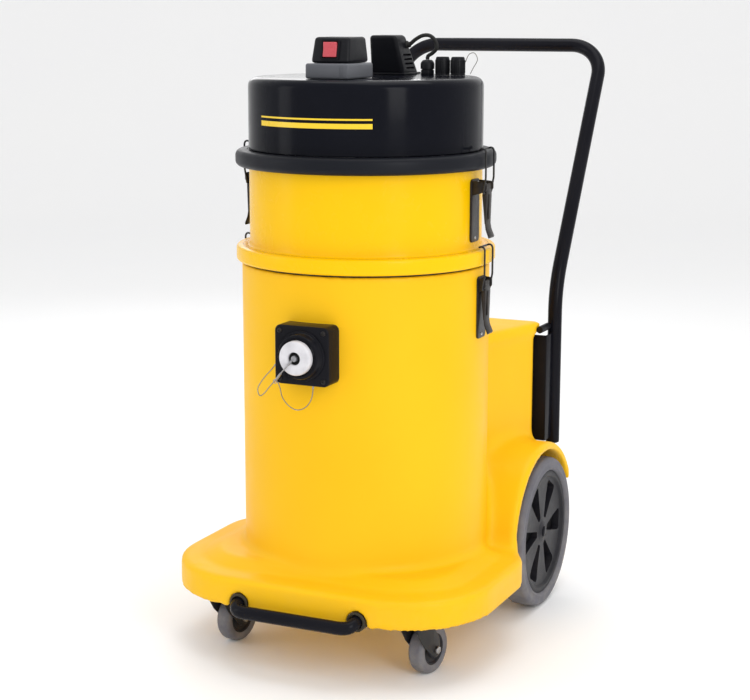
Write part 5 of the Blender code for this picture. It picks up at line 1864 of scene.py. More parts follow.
# ---------------------------------------------------------------- switch, cowl, gland and caps
@dataclass(frozen=True)
class TopFittings:
    """What stands on the dome: switch pod on its plinth, exhaust cowl, cable gland and two caps."""

    base: float = 0.8802
    plinth_top: float = 0.9027
    pod_top: float = 0.9405
    row_y: float = 0.100
    cowl_base: float = 0.0285
    cowl_crown: float = 0.0225
    cowl_height: float = 0.061
    gland_x: float = 0.0595
    cap_step: float = 0.0255
    cap_height: float = 0.028

    def switch(self, shop: Workshop) -> None:
        """Makes the plinth, the pod and the rocker.

        Args:
            shop: The workshop.
        """
        plinth = softened(block((-0.0355, 0.0355), (-0.1355, -0.050), (self.base, self.plinth_top)), 0.0035,
                          4)
        grooves = [block((x - 0.00045, x + 0.00045), (-0.140, -0.1350),
                         (self.base - 0.01, self.plinth_top + 0.01))
                   for x in (0.0215, 0.0250)]
        shop.piece("switch_plinth", shop.cut(plinth, *grooves), Palette.SILVER, "head", ["pod_plinth"])
        low = self.plinth_top + 0.0003
        pod = softened(block((-0.0310, 0.0310), (-0.1265, -0.055), (low, self.pod_top),
                             (-0.0285, 0.0285, -0.1180, -0.060)), 0.005, 4)
        slope = math.atan2(0.0085, self.pod_top - low)
        tilt = (turn(-math.degrees(slope), "X"), shift(y=-0.1220, z=low + 0.0190))
        pocket = moved(block((-0.0118, 0.0118), (-0.02, 0.011), (-0.0128, 0.0128)), *tilt)
        shop.piece("switch_housing", shop.cut(pod, pocket), Palette.BLACK, "head", ["switch_pod"])
        frame_out = prism(rectangle(0.0155, -0.0150, 0.0150, 0.0030, 5), -0.0022, 0.0008, "Y")
        frame_in = prism(rectangle(0.0116, -0.0126, 0.0126, 0.0008, 3), -0.01, 0.01, "Y")
        bezel = moved(softened(shop.cut(frame_out, frame_in), 0.0005, 2), *tilt)
        shop.piece("switch_bezel", bezel, Palette.GLOSS_BLACK, "head")
        key = rounded([(-0.0028, -0.0115, 0.001), (0.0095, -0.0050, 0.002), (0.0095, 0.0050, 0.002),
                       (-0.0052, 0.0115, 0.001), (-0.0030, 0.0, 0.012)], 5)
        rocker = moved(softened(prism(key, -0.0108, 0.0108, "X"), 0.0007, 3, 50.0), *tilt)
        shop.piece("rocker_key", rocker, Palette.RED, "rocker", ["rocker_switch"])

    def cowl(self, shop: Workshop) -> None:
        """Makes the exhaust cowl, leaning forward, with louvres on its open side.

        Args:
            shop: The workshop.
        """
        base, crown, high = self.cowl_base, self.cowl_crown, self.base + self.cowl_height
        y = self.row_y
        shell = softened(block((-base, base), (y - 0.022, y + 0.040), (self.base, high),
                               (-crown, crown, y - 0.042, y)), 0.006, 5)
        step = (-0.0007, -0.0027, 0.0068)
        slot = block((base - 0.0085, base + 0.02), (-0.0150, 0.0150), (-0.0016, 0.0016))
        slots = shop.trees.row.bake(slot, Palette.RUBBER, Count=4, Step=step)
        slots = moved(slots, shift(y=y + 0.006, z=self.base + 0.010))
        shop.piece("exhaust_cowl_shell", shop.cut(shell, slots), Palette.BLACK, "head", ["exhaust_cowl"])
        blade = softened(block((-0.0004, 0.0024), (-0.0148, 0.0148), (-0.0007, 0.0007)), 0.0003, 2)
        blades = shop.trees.row.bake(moved(blade, turn(35.0, "Y")), Palette.GLOSS_BLACK, Count=4, Step=step)
        blades = moved(blades, shift(x=base - 0.0045, y=y + 0.006, z=self.base + 0.0100))
        shop.piece("exhaust_louvres", blades, Palette.GLOSS_BLACK, "head")
        foot = softened(block((-base - 0.0020, base + 0.0020), (y - 0.024, y + 0.042),
                              (self.base - 0.0001, self.base + 0.0030)), 0.0012, 3)
        shop.piece("exhaust_foot", foot, Palette.BLACK, "head")

    def gland(self, shop: Workshop) -> None:
        """Makes the cable gland and its captive lead.

        Args:
            shop: The workshop.
        """
        place = shift(x=self.gland_x, y=self.row_y, z=self.base)
        nut = moved(hex_nut(0.0195, 0.0075), place)
        body = [(0.0, 0.0075), (0.0088, 0.0075), (0.0088, 0.0085), (0.0108, 0.0092), (0.0110, 0.0165),
                (0.0100, 0.0195),
                (0.0075, 0.0225), (0.0055, 0.0230), (0.0, 0.0230)]
        shop.piece("gland_body", merged(nut, moved(lathe(body, 40), place)), Palette.BLACK, "head",
                   ["lead_gland"])
        first, top = self.gland_x, self.base + 0.0230 + 0.0003
        exit_z = 0.046
        side = self.cowl_base - (self.cowl_base - self.cowl_crown) * exit_z / self.cowl_height
        start = side + 0.0007
        route = [(start, exit_z), (start + 0.005, exit_z + 0.001), (start + 0.014, exit_z + 0.008),
                 (start + 0.026, exit_z + 0.014), (first + 0.0035, exit_z + 0.0140),
                 (first + 0.0130, exit_z + 0.006),
                 (first + 0.0150, exit_z - 0.005), (first + 0.0085, exit_z - 0.0125),
                 (first + 0.0015, exit_z - 0.0165), (first, exit_z - 0.0195)]
        line = smooth_route([(x, self.row_y, self.base + z) for x, z in route], 0.0025)
        line += [Vector((first, self.row_y, top + 0.0008)), Vector((first, self.row_y, top))]
        shop.piece("captive_lead", shop.wire(line, 0.003, Palette.RUBBER, 20), Palette.RUBBER, "head",
                   ["motor_lead"])
        boot = [(0.0034, 0.0), (0.0060, 0.0), (0.0060, 0.0020), (0.0046, 0.0032), (0.0042, 0.0070),
                (0.0034, 0.0070)]
        grommet = moved(lathe(boot, TURN_TINY, "X"), shift(x=side - 0.0008, y=self.row_y,
                                                           z=self.base + exit_z))
        shop.piece("lead_grommet", grommet, Palette.RUBBER, "head")

    def caps(self, shop: Workshop) -> None:
        """Makes the two knurled screw caps and the outer cap's wire.

        Args:
            shop: The workshop.
        """
        tall = self.cap_height
        for name, index in (("inner", 1), ("outer", 2)):
            place = shift(x=self.gland_x + self.cap_step * index, y=self.row_y, z=self.base)
            core = [(0.0, 0.0), (0.0115, 0.0), (0.0115, 0.0022), (0.0109, 0.0028), (0.0109, tall - 0.0045),
                    (0.0104, tall - 0.0018), (0.0094, tall), (0.0050, tall), (0.0044, tall - 0.0008),
                    (0.0, tall - 0.0008)]
            rib = softened(block((0.0104, 0.0117), (-0.0007, 0.0007), (0.0030, tall - 0.0050)), 0.0003, 2)
            ribs = shop.trees.round.bake(rib, Palette.BLACK, Count=24)
            shop.piece("screw_cap_" + name, moved(merged(lathe(core, TURN_SMALL), ribs), place),
                       Palette.BLACK,
                       "cap_" + name, ["port_cap_" + name])
        reach, y, z = self.gland_x + 2 * self.cap_step, self.row_y, self.base
        loop = [(reach + 0.0125, y, z + 0.020), (reach + 0.020, y - 0.004, z + 0.032),
                (reach + 0.030, y - 0.006, z + 0.034), (reach + 0.034, y - 0.004, z + 0.024),
                (reach + 0.026, y, z + 0.012), (reach + 0.020, y + 0.002, z + 0.002)]
        line = smooth_route(loop, 0.002)
        cord = shop.piece("cap_wire", shop.wire(line, 0.0006, Palette.STRAND, 10), Palette.STRAND, "head",
                          ["port_lanyard"])

    def build(self, shop: Workshop) -> None:
        """Makes every fitting.

        Args:
            shop: The workshop.
        """
        self.switch(shop)
        self.cowl(shop)
        self.gland(shop)
        self.caps(shop)


# ---------------------------------------------------------------- latches
@dataclass(frozen=True)
class Latch:
    """One toggle latch: base on the wall, channel lever and wire bail over the ring."""

    level: str
    side: int
    label: str
    wall: float
    ring_top: float
    wire: float = 0.0015
    half: float = 0.0165
    drop: float = 0.050
    crank: float = 0.010
    lever: float = 0.078
    sheet: float = 0.0011

    @property
    def name(self) -> str:
        """The latch's place, as the frame spells it."""
        return "%s_%s" % (self.level, self.label)

    @property
    def pivot(self) -> tuple[float, float]:
        """Radius and height of the lever's pin."""
        return STACK.clamp - 0.001, self.ring_top - self.drop

    def placed(self, bm: bmesh.types.BMesh, at_pivot: bool = True) -> bmesh.types.BMesh:
        """Moves a solid drawn for +X to this latch's own side.

        Args:
            bm: The solid.
            at_pivot: True if it was drawn about the pin.

        Returns:
            The same solid.
        """
        x, z = self.pivot if at_pivot else (0.0, 0.0)
        return moved(bm, shift(x=x, z=z), turn(0.0 if self.side > 0 else 180.0, "Z"))

    def base(self, shop: Workshop) -> None:
        """Makes the base plate, its ears and its rivets.

        Args:
            shop: The workshop.
        """
        x, z = self.pivot
        half, wall = self.half, self.wall
        ear_in, ear_out = half - 0.005, half - 0.002
        outline = rounded([(-half, z - 0.085, 0.006), (half, z - 0.085, 0.006), (half, z + 0.010, 0.006),
                           (-half, z + 0.010, 0.006)], 6)
        plate = softened(prism(outline, wall - 0.010, wall + 0.0022, "X"), 0.0007, 2, 50.0)
        drum = lathe([(0.0, z - 0.12), (wall + 0.0003, z - 0.12), (wall + 0.0003, z + 0.05),
                      (0.0, z + 0.05)], TURN_LARGE)
        parts = [shop.cut(plate, drum)]
        ear = rounded([(wall + 0.0006, z - 0.0150, 0.0), (x + 0.0055, z - 0.0065, 0.005),
                       (x + 0.0055, z + 0.0065, 0.005),
                       (wall + 0.0006, z + 0.0080, 0.0)], 6)
        for side in (-1, 1):
            low, high = sorted((side * ear_in, side * ear_out))
            # prism takes (x, z) along Y.
            parts.append(softened(prism(ear, low, high, "Y"), 0.0005, 2, 50.0))
        shop.piece("latch_plate_" + self.name, self.placed(merged(*parts), False), Palette.LATCH,
                   "chamber" if self.level == "upper" else "chassis", ["latch_base_" + self.name])
        spots = [((wall + 0.0021, y, z + dz), (1, 0, 0)) for y, dz in ((0.0, -0.079), (-0.0105, 0.0045),
                                                                      (0.0105, 0.0045))]
        rivets = shop.fixings(spots, rivet_head(0.0026, 0.0014), Palette.ZINC, 3)
        shop.piece("latch_rivets_" + self.name, self.placed(rivets, False), Palette.ZINC,
                   "chamber" if self.level == "upper" else "chassis")

    def handle(self, shop: Workshop) -> None:
        """Makes the channel lever with its flared tail and its pin.

        Args:
            shop: The workshop.
        """
        half, out = self.half - 0.005 - 0.0006, self.sheet
        strap = [(0.0026, 0.0042), (0.0038, 0.0030), (0.0040, -0.0140), (0.0034, -0.0360), (0.0028, -0.0560),
                 (0.0042, -0.0640), (0.0090, -self.lever + 0.0025), (0.0078, -self.lever), (0.0028, -0.0648),
                 (0.0016, -0.0565), (0.0022, -0.0360), (0.0028, -0.0140), (0.0026, 0.0010)]
        web = softened(prism(strap, -half, half, "Y"), 0.0004, 2, 40.0)
        cheek = rounded([(-0.0020, 0.0042, 0.001), (0.0032, 0.0042, 0.001), (0.0036, -0.0140, 0.0),
                         (0.0024, -0.0560, 0.0), (0.0012, -0.0560, 0.0), (-0.0030, -0.0140, 0.004)], 4)
        cheeks = [softened(prism(cheek, *sorted((side * half, side * (half - out))), "Y"), 0.0003, 2, 50.0)
                  for side in (-1, 1)]
        rib = softened(block((0.0030, 0.0052), (-0.0035, 0.0035), (-0.0500, -0.0120)), 0.0012, 3)
        pin = lathe([(0.0, -half - 0.0033), (0.0024, -half - 0.0033), (0.0024, -half - 0.0022),
                     (0.0018, -half - 0.0020),
                     (0.0018, half + 0.0020), (0.0024, half + 0.0022), (0.0024, half + 0.0033),
                     (0.0, half + 0.0033)],
                    20, "Y")
        shop.piece("latch_handle_" + self.name, self.placed(merged(web, *cheeks, rib)), Palette.LATCH,
                   "lever_" + self.name, ["latch_lever_" + self.name])
        shop.piece("latch_pin_" + self.name, self.placed(pin), Palette.ZINC, "lever_" + self.name)

    def bail(self, shop: Workshop) -> None:
        """Makes the wire bail.

        Args:
            shop: The workshop.
        """
        up, out, half = self.drop + self.crank, 0.0037, self.half
        leg = [(0.0, 0.0), (0.0006, 0.006), (out, 0.022), (out, up - 0.004), (out, up + 0.002),
               (out - 0.002, up + 0.0055), (out - 0.0055, up + 0.0065), (out - 0.0095, up + 0.0050)]
        corners = [(x, half, z) for x, z in leg] + [(x, -half, z) for x, z in reversed(leg)]
        path: list[Vector] = []
        bend = 0.0022
        for i, corner in enumerate(corners):
            here = Vector(corner)
            before, after = Vector(corners[i - 1]) - here, Vector(corners[(i + 1) % len(corners)]) - here
            first = here + before.normalized() * min(bend, before.length * 0.45)
            last = here + after.normalized() * min(bend, after.length * 0.45)
            path += [first.lerp(here, t).lerp(here.lerp(last, t), t) for t in (0.0, 0.25, 0.5, 0.75, 1.0)]
        x, z = 0.0008, -self.crank
        wire = moved(shop.wire(path, self.wire, Palette.WIRE_BLACK, WIRE_SIDES, closed=True), shift(x=x, z=z))
        shop.piece("latch_wire_" + self.name, self.placed(wire), Palette.WIRE_BLACK, "bail_" + self.name,
                   ["latch_bail_" + self.name])

    def build(self, shop: Workshop) -> None:
        """Makes the latch.

        Args:
            shop: The workshop.
        """
        self.base(shop)
        self.handle(shop)
        self.bail(shop)


# ---------------------------------------------------------------- handle and foot bar
@dataclass(frozen=True)
class PushHandle:
    """The tubular push handle, its channel brackets, bolts and spacer studs."""

    half_width: float = 0.190
    leg_y: float = 0.358
    foot: float = 0.247
    bend: float = 0.515
    top: float = 0.918
    lean: float = 30.6
    corner: float = 0.060
    tube: float = 0.012
    sheet: float = 0.003

    def line(self) -> list[Vector]:
        """Centre line from the left foot over the crossbar to the right foot.

        Returns:
            Its points.
        """
        half, reach = self.half_width, 0.045
        tilt = math.radians(self.lean)
        lean = Vector((math.sin(tilt), math.cos(tilt)))
        corner = Vector((self.leg_y, self.bend))
        right = [(half, self.leg_y, self.foot + (self.bend - reach - self.foot) * k / 10) for k in range(11)]
        for k in range(1, 16):
            t = k / 16
            start, end = Vector((self.leg_y, self.bend - reach)), corner + lean * reach
            spot = start * (1 - t) ** 2 + corner * 2 * t * (1 - t) + end * t * t
            right.append((half, spot.x, spot.y))
        slope = (self.top - self.bend) / math.cos(tilt)
        for k in range(9):
            spot = corner + lean * (reach + (slope - self.corner - reach) * k / 9)
            right.append((half, spot.x, spot.y))
        for x, along in arc((half - self.corner, slope - self.corner), self.corner, 0, 90, 24):
            spot = corner + lean * along
            right.append((x, spot.x, spot.y))
        return [Vector(p) for p in right] + [Vector((-x, y, z)) for x, y, z in reversed(right)]

    def build(self, shop: Workshop) -> None:
        """Makes the handle.

        Args:
            shop: The workshop.
        """
        tube = shop.wire(self.line(), self.tube, Palette.TUBE, 36)
        shop.piece("push_handle_tube", tube, Palette.TUBE, "chassis", ["handle_tube"])
        plug = [(0.0, -0.003), (0.0092, -0.003), (0.0112, -0.0020), (0.0116, 0.0), (0.0116, 0.0006),
                (0.0, 0.0006)]
        ends = [moved(lathe(plug, 40), shift(x=side * self.half_width, y=self.leg_y, z=self.foot)) for side,
                _ in SIDES]
        shop.piece("handle_end_plugs", merged(*ends), Palette.RUBBER, "chassis")
        wall = STACK.box_rear + 0.0003
        low, high = self.foot + 0.009, 0.439
        for side, label in SIDES:
            x0, x1 = self.half_width - 0.040, self.half_width + 0.001
            inside, reach, sheet = wall + self.sheet, self.leg_y - 0.006, self.sheet
            outline = [(x0, wall), (x1, wall), (x1, reach), (x1 - sheet, reach), (x1 - sheet, inside),
                       (x0 + sheet, inside), (x0 + sheet, reach), (x0, reach)]
            channel = softened(prism(outline, low, high), 0.0007, 2)
            leg = moved(lathe([(0.0, 0.1), (self.tube + 0.0003, 0.1), (self.tube + 0.0003, 0.6),
                               (0.0, 0.6)], TURN_SMALL),
                        shift(x=self.half_width, y=self.leg_y))
            channel = moved(shop.cut(channel, leg), Matrix.Diagonal((side, 1.0, 1.0, 1.0)))
            shop.piece("handle_channel_" + label, channel, Palette.TUBE, "chassis",
                       ["handle_bracket_" + label])
            across = 0.5 * (x0 + x1)
            spots = [((side * across, wall + self.sheet - 0.0001, z), (0, 1, 0)) for z in (low + 0.025,
                                                                                           high - 0.025)]
            bolts = merged(shop.fixings(spots, hex_nut(0.010, 0.0045), Palette.ZINC, 11),
                           shop.fixings([((side * (x0 - 0.0001), wall + 0.022, z), (-side, 0, 0))
                                         for z in (low + 0.025, high - 0.025)], screw_head(0.0055, 0.0032),
                                        Palette.ZINC, 12))
            shop.piece("handle_bolts_" + label, bolts, Palette.ZINC, "chassis")
            stud = [(0.0, 0.3025), (0.0056, 0.3025), (0.0060, 0.3035), (0.0060, self.leg_y - 0.0142),
                    (0.0056, self.leg_y - 0.0128), (0.0, self.leg_y - 0.0128)]
            post = moved(lathe(stud, TURN_TINY, "Y"), shift(x=side * (self.half_width - 0.008),
                                                     z=STACK.box_top - 0.0115))
            shop.piece("handle_spacer_" + label, post, Palette.BLACK, "chassis", ["handle_stud_" + label])


@dataclass(frozen=True)
class FootBar:
    """The bent front bar in its two rubber bushes."""

    radius: float = 0.010
    half: float = 0.098
    height: float = 0.1005
    front: float = -0.264
    drop: float = 0.006
    skirt: float = -0.245

    def build(self, shop: Workshop) -> None:
        """Makes the bar and its bushes.

        Args:
            shop: The workshop.
        """
        half, z = self.half, self.height
        right = [(half, self.skirt + 0.030, z), (half, self.skirt + 0.004, z),
                 (half - 0.001, self.skirt - 0.007, z - 0.002),
                 (half - 0.006, self.front + 0.004, z - 0.005), (half - 0.018, self.front, z - self.drop),
                 (half - 0.040, self.front, z - self.drop)]
        line = smooth_route(right + [(-x, y, h) for x, y, h in reversed(right)], 0.004)
        shop.piece("front_foot_bar", shop.wire(line, self.radius, Palette.TUBE, 32), Palette.TUBE, "chassis",
                   ["foot_bar"])
        outer, bore = self.radius + 0.005, self.radius + 0.0015
        profile = [(bore, -0.002), (outer - 0.0012, -0.002), (outer, -0.0008), (outer, 0.0180),
                   (bore, 0.0180)]
        for side, label in SIDES:
            bush = moved(lathe(profile, TURN_SMALL, "Y"), shift(x=side * half, y=self.skirt, z=z))
            shop.piece("foot_grommet_" + label, bush, Palette.GROMMET, "chassis", ["foot_bush_" + label])


# ---------------------------------------------------------------- wheels
@dataclass(frozen=True)
class RearWheel:
    """One rear wheel: grey tyre and black hub with six open wedges between its petals, their floors darkened
    by sheets of painted shade.
    """

    side: int
    label: str
    x: float = 0.208
    radius: float = 0.125
    width: float = 0.046
    section: float = 0.0225
    axle: float = 0.0083

    def placed(self, bm: bmesh.types.BMesh) -> bmesh.types.BMesh:
        """Moves a solid drawn for the +X side about X to this wheel.

        Args:
            bm: The solid.

        Returns:
            The same solid.
        """
        y, z = STACK.axle
        return moved(bm, Matrix.Diagonal((self.side, 1.0, 1.0, 1.0)), shift(self.side * self.x, y, z))

    def build(self, shop: Workshop) -> None:
        """Makes the wheel.

        Args:
            shop: The workshop.
        """
        rim, half, outer = self.radius - self.section, self.width / 2, self.radius
        side_wall = [(rim + 0.0003, half - 0.0045), (rim + 0.0030, half - 0.0012),
                     (rim + 0.0050, half - 0.0002),
                     (rim + 0.0066, half - 0.0010), (rim + 0.0074, half - 0.0018),
                     (outer - 0.0086, half - 0.0014)]
        shoulder = [(outer - 0.0100 + 0.0096 * math.cos(math.radians(a)),
                     half - 0.0095 + 0.0088 * math.sin(math.radians(a)))
                    for a in range(70, -1, -10)]
        crown = [(outer, 0.006), (outer, 0.0)]
        right = side_wall + shoulder + crown
        tyre = right + [(r, -h) for r, h in reversed(right[:-1])]
        shop.piece("tyre_" + self.label, self.placed(lathe(tyre, 160, "X")), Palette.TYRE,
                   "rear_wheel_" + self.label, ["wheel_tyre_" + self.label], 50.0)
        dish = [(self.axle, 0.0125), (0.0, 0.0125), (0.0, 0.0165), (0.0105, 0.0165), (0.0118, 0.0155),
                (0.0150, 0.0150), (0.0172, 0.0140), (0.0200, 0.0132), (0.060, 0.0128), (rim - 0.0125, 0.0136),
                (rim - 0.0105, 0.0150), (rim - 0.0090, 0.0180), (rim - 0.0078, 0.0186),
                (rim - 0.0015, 0.0186),
                (rim, 0.0176), (rim, -0.0176), (rim - 0.0015, -0.0186), (rim - 0.006, -0.018),
                (0.016, -0.012),
                (0.016, -0.022), (self.axle, -0.022)]
        gap = rounded([(r * math.cos(a), r * math.sin(a), c) for r, a, c in (
            (0.0245, -0.20, 0.003), (rim - 0.0150, -0.235, 0.006), (rim - 0.0150, 0.235, 0.006),
            (0.0245, 0.20, 0.003))], 6)
        tool = moved(prism(gap, 0.0022, 0.03), turn(30.0, "Z"))
        tools = shop.trees.round.bake(tool, Palette.HUB_GAP_SHADE, Count=6)
        bmesh.ops.rotate(tools, verts=tools.verts, matrix=Matrix.Rotation(math.pi / 2, 3, "Y"))
        hub = shop.cut(lathe(dish, 120, "X"), tools)
        shop.piece("hub_" + self.label, self.placed(hub), Palette.HUB, "rear_wheel_" + self.label,
                   ["wheel_hub_" + self.label])
        # Near-black sheets on the pocket floors paint the shade inside the six wedges.
        shade_sheet = moved(prism([(x * 0.985 + 0.0006, y * 0.985) for x, y in gap], 0.0020, 0.0028), turn(30.0, "Z"))
        shade_sheets = shop.trees.round.bake(shade_sheet, Palette.HUB_GAP_SHADE, Count=6)
        bmesh.ops.rotate(shade_sheets, verts=shade_sheets.verts, matrix=Matrix.Rotation(math.pi / 2, 3, "Y"))
        shop.piece("hub_recesses_" + self.label, self.placed(shade_sheets), Palette.HUB_GAP_SHADE,
                   "rear_wheel_" + self.label)
        badge = [(0.0, 0.0160), (0.0088, 0.0160), (0.0092, 0.0172), (0.0080, 0.0185), (0.0040, 0.0192),
                 (0.0, 0.0193)]
        shop.piece("hub_cap_" + self.label, self.placed(lathe(badge, TURN_SMALL, "X")), Palette.GLOSS_BLACK,
                   "rear_wheel_" + self.label)


@dataclass(frozen=True)
class Caster:
    """One front caster: plate with bolts, race, pressed fork, axle bolt and grey wheel."""

    side: int
    label: str
    radius: float = 0.0375
    width: float = 0.025
    trail: float = 0.028
    half_track: float = 0.164
    ahead: float = 0.170
    yaw: float = -11.0
    plate_top: float = 0.1033

    def placed(self, bm: bmesh.types.BMesh, yawed: bool = True) -> bmesh.types.BMesh:
        """Moves a solid drawn about the swivel axis to this caster.

        Args:
            bm: The solid.
            yawed: True for what turns with the fork.

        Returns:
            The same solid.
        """
        return moved(bm, turn(self.yaw if yawed else 0.0, "Z"), shift(self.side * self.half_track,
                                                                      -self.ahead))

    def build(self, shop: Workshop) -> None:
        """Makes the caster.

        Args:
            shop: The workshop.
        """
        top, low = self.plate_top, self.plate_top - 0.003
        plate_out = rounded([(sx * 0.028, sy * 0.035, 0.005) for sx, sy in ((-1, -1), (1, -1), (1, 1),
                                                                            (-1, 1))], 5)
        plate = softened(prism(plate_out, low, top), 0.0006, 2, 50.0)
        shop.piece("caster_top_plate_" + self.label, self.placed(plate, False), Palette.ZINC, "chassis",
                   ["caster_plate_" + self.label])
        spots = [((sx * 0.0215, sy * 0.0275, low), (0, 0, -1)) for sx in (-1, 1) for sy in (-1, 1)]
        shop.piece("caster_plate_bolts_" + self.label,
                   self.placed(shop.fixings(spots, hex_nut(0.008, 0.0036), Palette.ZINC, 5), False),
                   Palette.ZINC,
                   "chassis")
        crown, slot = 2 * self.radius + 0.004, self.width / 2 + 0.001
        trail, centre = self.trail, self.radius
        view = rounded([(-0.022, crown + 0.0045, 0.002), (-0.021, crown - 0.004, 0.004),
                        (-0.010, crown - 0.022, 0.016),
                        (trail - 0.011, centre - 0.008, 0.010), (trail, centre - 0.0125, 0.010),
                        (trail + 0.011, centre - 0.008, 0.010), (trail + 0.009, centre + 0.016, 0.010),
                        (0.024, crown - 0.008, 0.006), (0.024, crown + 0.0045, 0.002)], 7)
        cheeks = [softened(prism(view, *sorted((s * slot, s * (slot + 0.0024))), "X"), 0.0007, 2, 50.0)
                  for s in (-1, 1)]
        bridge = softened(block((-slot - 0.0024, slot + 0.0024), (-0.022, 0.024),
                                (crown + 0.0012, crown + 0.006)),
                          0.0016, 3)
        shop.piece("caster_yoke_" + self.label, self.placed(merged(*cheeks, bridge)), Palette.YOKE,
                   "fork_" + self.label, ["caster_fork_" + self.label])
        liners = [softened(block((x - 0.0004, x + 0.0004), (trail - 0.009, trail + 0.009),
                                 (centre - 0.009, centre + 0.016)), 0.0002, 1) for x in (-slot + 0.0001,
                                                                                         slot - 0.0001)]
        shop.piece("caster_liner_" + self.label, self.placed(merged(*liners)), Palette.ZINC,
                   "fork_" + self.label)
        race = [(0.0, crown + 0.0058), (0.0215, crown + 0.0058), (0.0232, crown + 0.0075),
                (0.0232, low - 0.0050),
                (0.0222, low - 0.0034), (0.0200, low - 0.0008), (0.0, low - 0.0008)]
        dust_lip = [(0.0205, low - 0.0062), (0.0242, low - 0.0066), (0.0248, low - 0.0056),
                    (0.0238, low - 0.0040),
                    (0.0205, low - 0.0040)]
        shop.piece("caster_race_" + self.label, self.placed(merged(lathe(race, 72), lathe(dust_lip, 72))),
                   Palette.DRAWN, "fork_" + self.label)
        reach = slot + 0.0024
        cheek_bolt = moved(merged(moved(hex_nut(0.0105, 0.0042), turn(90.0, "Y"), shift(x=reach)),
                                  moved(screw_head(0.0062, 0.0038), turn(-90.0, "Y"), shift(x=-reach))),
                           shift(y=trail, z=centre))
        shop.piece("caster_bolt_" + self.label, self.placed(cheek_bolt), Palette.DRAWN, "fork_" + self.label)
        half = self.width / 2
        ring = [(0.0235, -half + 0.0022), (0.0262, -half + 0.0004), (self.radius - 0.0058, -half),
                *[(self.radius - 0.0062 + 0.0062 * math.sin(math.radians(a)),
                   -half + 0.0062 - 0.0062 * math.cos(math.radians(a))) for a in (15, 35, 55, 75, 90)]]
        tyre = ring + [(r, -h) for r, h in reversed(ring)]
        middle = [(0.0043, -half), (0.0100, -half), (0.0118, -half + 0.0010), (0.0140, -half + 0.0040),
                  (0.0205, -half + 0.0046), (0.0225, -half + 0.0020), (0.0243, -half + 0.0016),
                  (0.0247, -half + 0.0030)]
        core = middle + [(r, -h) for r, h in reversed(middle)]
        at_axle = shift(y=trail, z=centre)
        shop.piece("caster_tyre_" + self.label, self.placed(moved(lathe(tyre, TURN_MEDIUM, "X"), at_axle)),
                   Palette.TYRE,
                   "caster_" + self.label, ["caster_wheel_" + self.label], 50.0)
        shop.piece("caster_hub_" + self.label, self.placed(moved(lathe(core, 64, "X"), at_axle)), Palette.HUB,
                   "caster_" + self.label)


# ---------------------------------------------------------------- studio
@dataclass(frozen=True)
class Lamp:
    """One soft rectangular light, aimed at the machine."""

    name: str
    place: RGB
    size: tuple[float, float]
    power: float
    aim: RGB = (0.0, -0.15, 0.5)
    colour: RGB = (1.0, 1.0, 1.0)

    def build(self) -> None:
        """Adds the light."""
        data = bpy.data.lights.new(self.name, "AREA")
        data.shape = "RECTANGLE"
        data.size, data.size_y = self.size
        data.energy = self.power
        data.color = self.colour
        obj = bpy.data.objects.new(self.name, data)
        obj.location = self.place
        obj.rotation_euler = (Vector(self.aim) - Vector(self.place)).to_track_quat("-Z", "Y").to_euler()
        bpy.context.scene.collection.objects.link(obj)


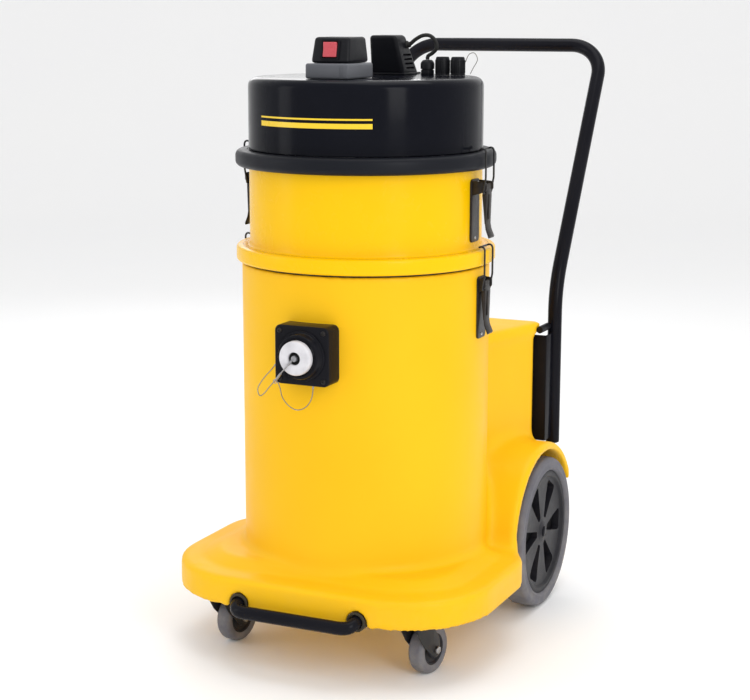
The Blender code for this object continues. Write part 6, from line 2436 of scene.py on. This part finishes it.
@dataclass(frozen=True)
class Studio:
    """Camera, pale floor, world and lights."""

    azimuth: float = 25.0
    elevation: float = 11.1
    distance: float = 2.7
    lens: float = 82.37
    sensor: float = 36.0
    sideways: float = 0.0121
    target_z: float = 0.4545
    lamps: tuple[Lamp, ...] = (
        Lamp("key_right", (2.1, -1.7, 1.5), (0.8, 1.7), 20.0),
        Lamp("overhead", (0.1, 0.2, 2.9), (2.2, 1.8), 26.0, (0.0, 0.0, 0.3)),
        Lamp("fill_left", (-2.2, -1.6, 1.2), (0.7, 1.6), 6.0),
        Lamp("rim_back", (-1.5, 2.2, 1.7), (1.2, 1.2), 8.0))

    def camera(self, axis_y: float) -> None:
        """Places the camera.

        Args:
            axis_y: Where the drum's axis is.
        """
        turn_z, rise = math.radians(self.azimuth), math.radians(self.elevation)
        away = Vector((math.sin(turn_z) * math.cos(rise), -math.cos(turn_z) * math.cos(rise), math.sin(rise)))
        target = Vector((0.0, axis_y, self.target_z))
        data = bpy.data.cameras.new("camera")
        data.lens, data.sensor_width, data.shift_x = self.lens, self.sensor, self.sideways
        data.clip_start = 0.05
        data.dof.use_dof = False
        obj = bpy.data.objects.new("camera", data)
        obj.location = target + away * self.distance
        obj.rotation_euler = (-away).to_track_quat("-Z", "Y").to_euler()
        bpy.context.scene.collection.objects.link(obj)
        bpy.context.scene.camera = obj

    def build(self) -> None:
        """Adds the floor, the world and the lights."""
        world = bpy.data.worlds.new("studio")
        world.use_nodes = True
        sky = world.node_tree.nodes["Background"]
        sky.inputs["Color"].default_value = (1.0, 1.0, 1.0, 1.0)
        sky.inputs["Strength"].default_value = 0.88
        bpy.context.scene.world = world
        bpy.context.scene.view_settings.view_transform = "Standard"
        sweep = [(-9.0, 0.0), (5.0, 0.0), *arc((5.0, 2.5), 2.5, -84, 0, 14), (7.5, 9.0)]
        plane = bmesh.new()
        edges = [[plane.verts.new((x, y, z)) for y, z in sweep] for x in (-14.0, 14.0)]
        for i in range(len(sweep) - 1):
            plane.faces.new((edges[0][i], edges[1][i], edges[1][i + 1], edges[0][i + 1]))
        bmesh.ops.rotate(plane, verts=plane.verts, matrix=Matrix.Rotation(math.radians(self.azimuth), 3, "Z"))
        mesh = bpy.data.meshes.new("studio_floor")
        plane.to_mesh(mesh)
        plane.free()
        mesh.shade_smooth()
        mesh.materials.append(Palette.FLOOR.material())
        floor = bpy.data.objects.new("studio_floor", mesh)
        bpy.context.scene.collection.objects.link(floor)
        for lamp in self.lamps:
            lamp.build()


def corners(bounds: Sequence[Place]) -> list[list[float]]:
    """Bounds as plain lists.

    Args:
        bounds: The low and the high corner.

    Returns:
        Both corners as lists of numbers.
    """
    return [[float(value) for value in corner] for corner in bounds]


def main() -> None:
    """Builds every piece in order."""
    logging.basicConfig(level=logging.INFO, format="%(name)s: %(message)s")
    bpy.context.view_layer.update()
    shop = Workshop()
    studio = Studio()
    studio.camera(shop.axis_y)
    Inlet().build(shop)
    LOG.info("inlet made")
    fittings = TopFittings()
    fittings.build(shop)
    LOG.info("switch, cowl, gland and caps made")
    MouldedBody().build(shop)
    LOG.info("moulded body made")
    FilterChamber().build(shop)
    LOG.info("filter chamber made")
    Head().build(shop)
    LOG.info("head made")
    for side, label in SIDES:
        Latch("lower", side, label, STACK.drum, STACK.flange[1]).build(shop)
        Latch("upper", side, label, STACK.chamber, STACK.ring[1]).build(shop)
        LOG.info("%s latches made", label)
    PushHandle().build(shop)
    FootBar().build(shop)
    LOG.info("handle and foot bar made")
    for side, label in SIDES:
        RearWheel(side, label).build(shop)
        Caster(side, label).build(shop)
        LOG.info("%s wheels made", label)
    shop.coat(Palette.DRAWN, "rear_axle")
    shop.coat(Palette.ZINC, "axle_carrier_left", "axle_carrier_right")
    studio.build()
    LOG.info("studio made")


if __name__ == "__main__":
    main()
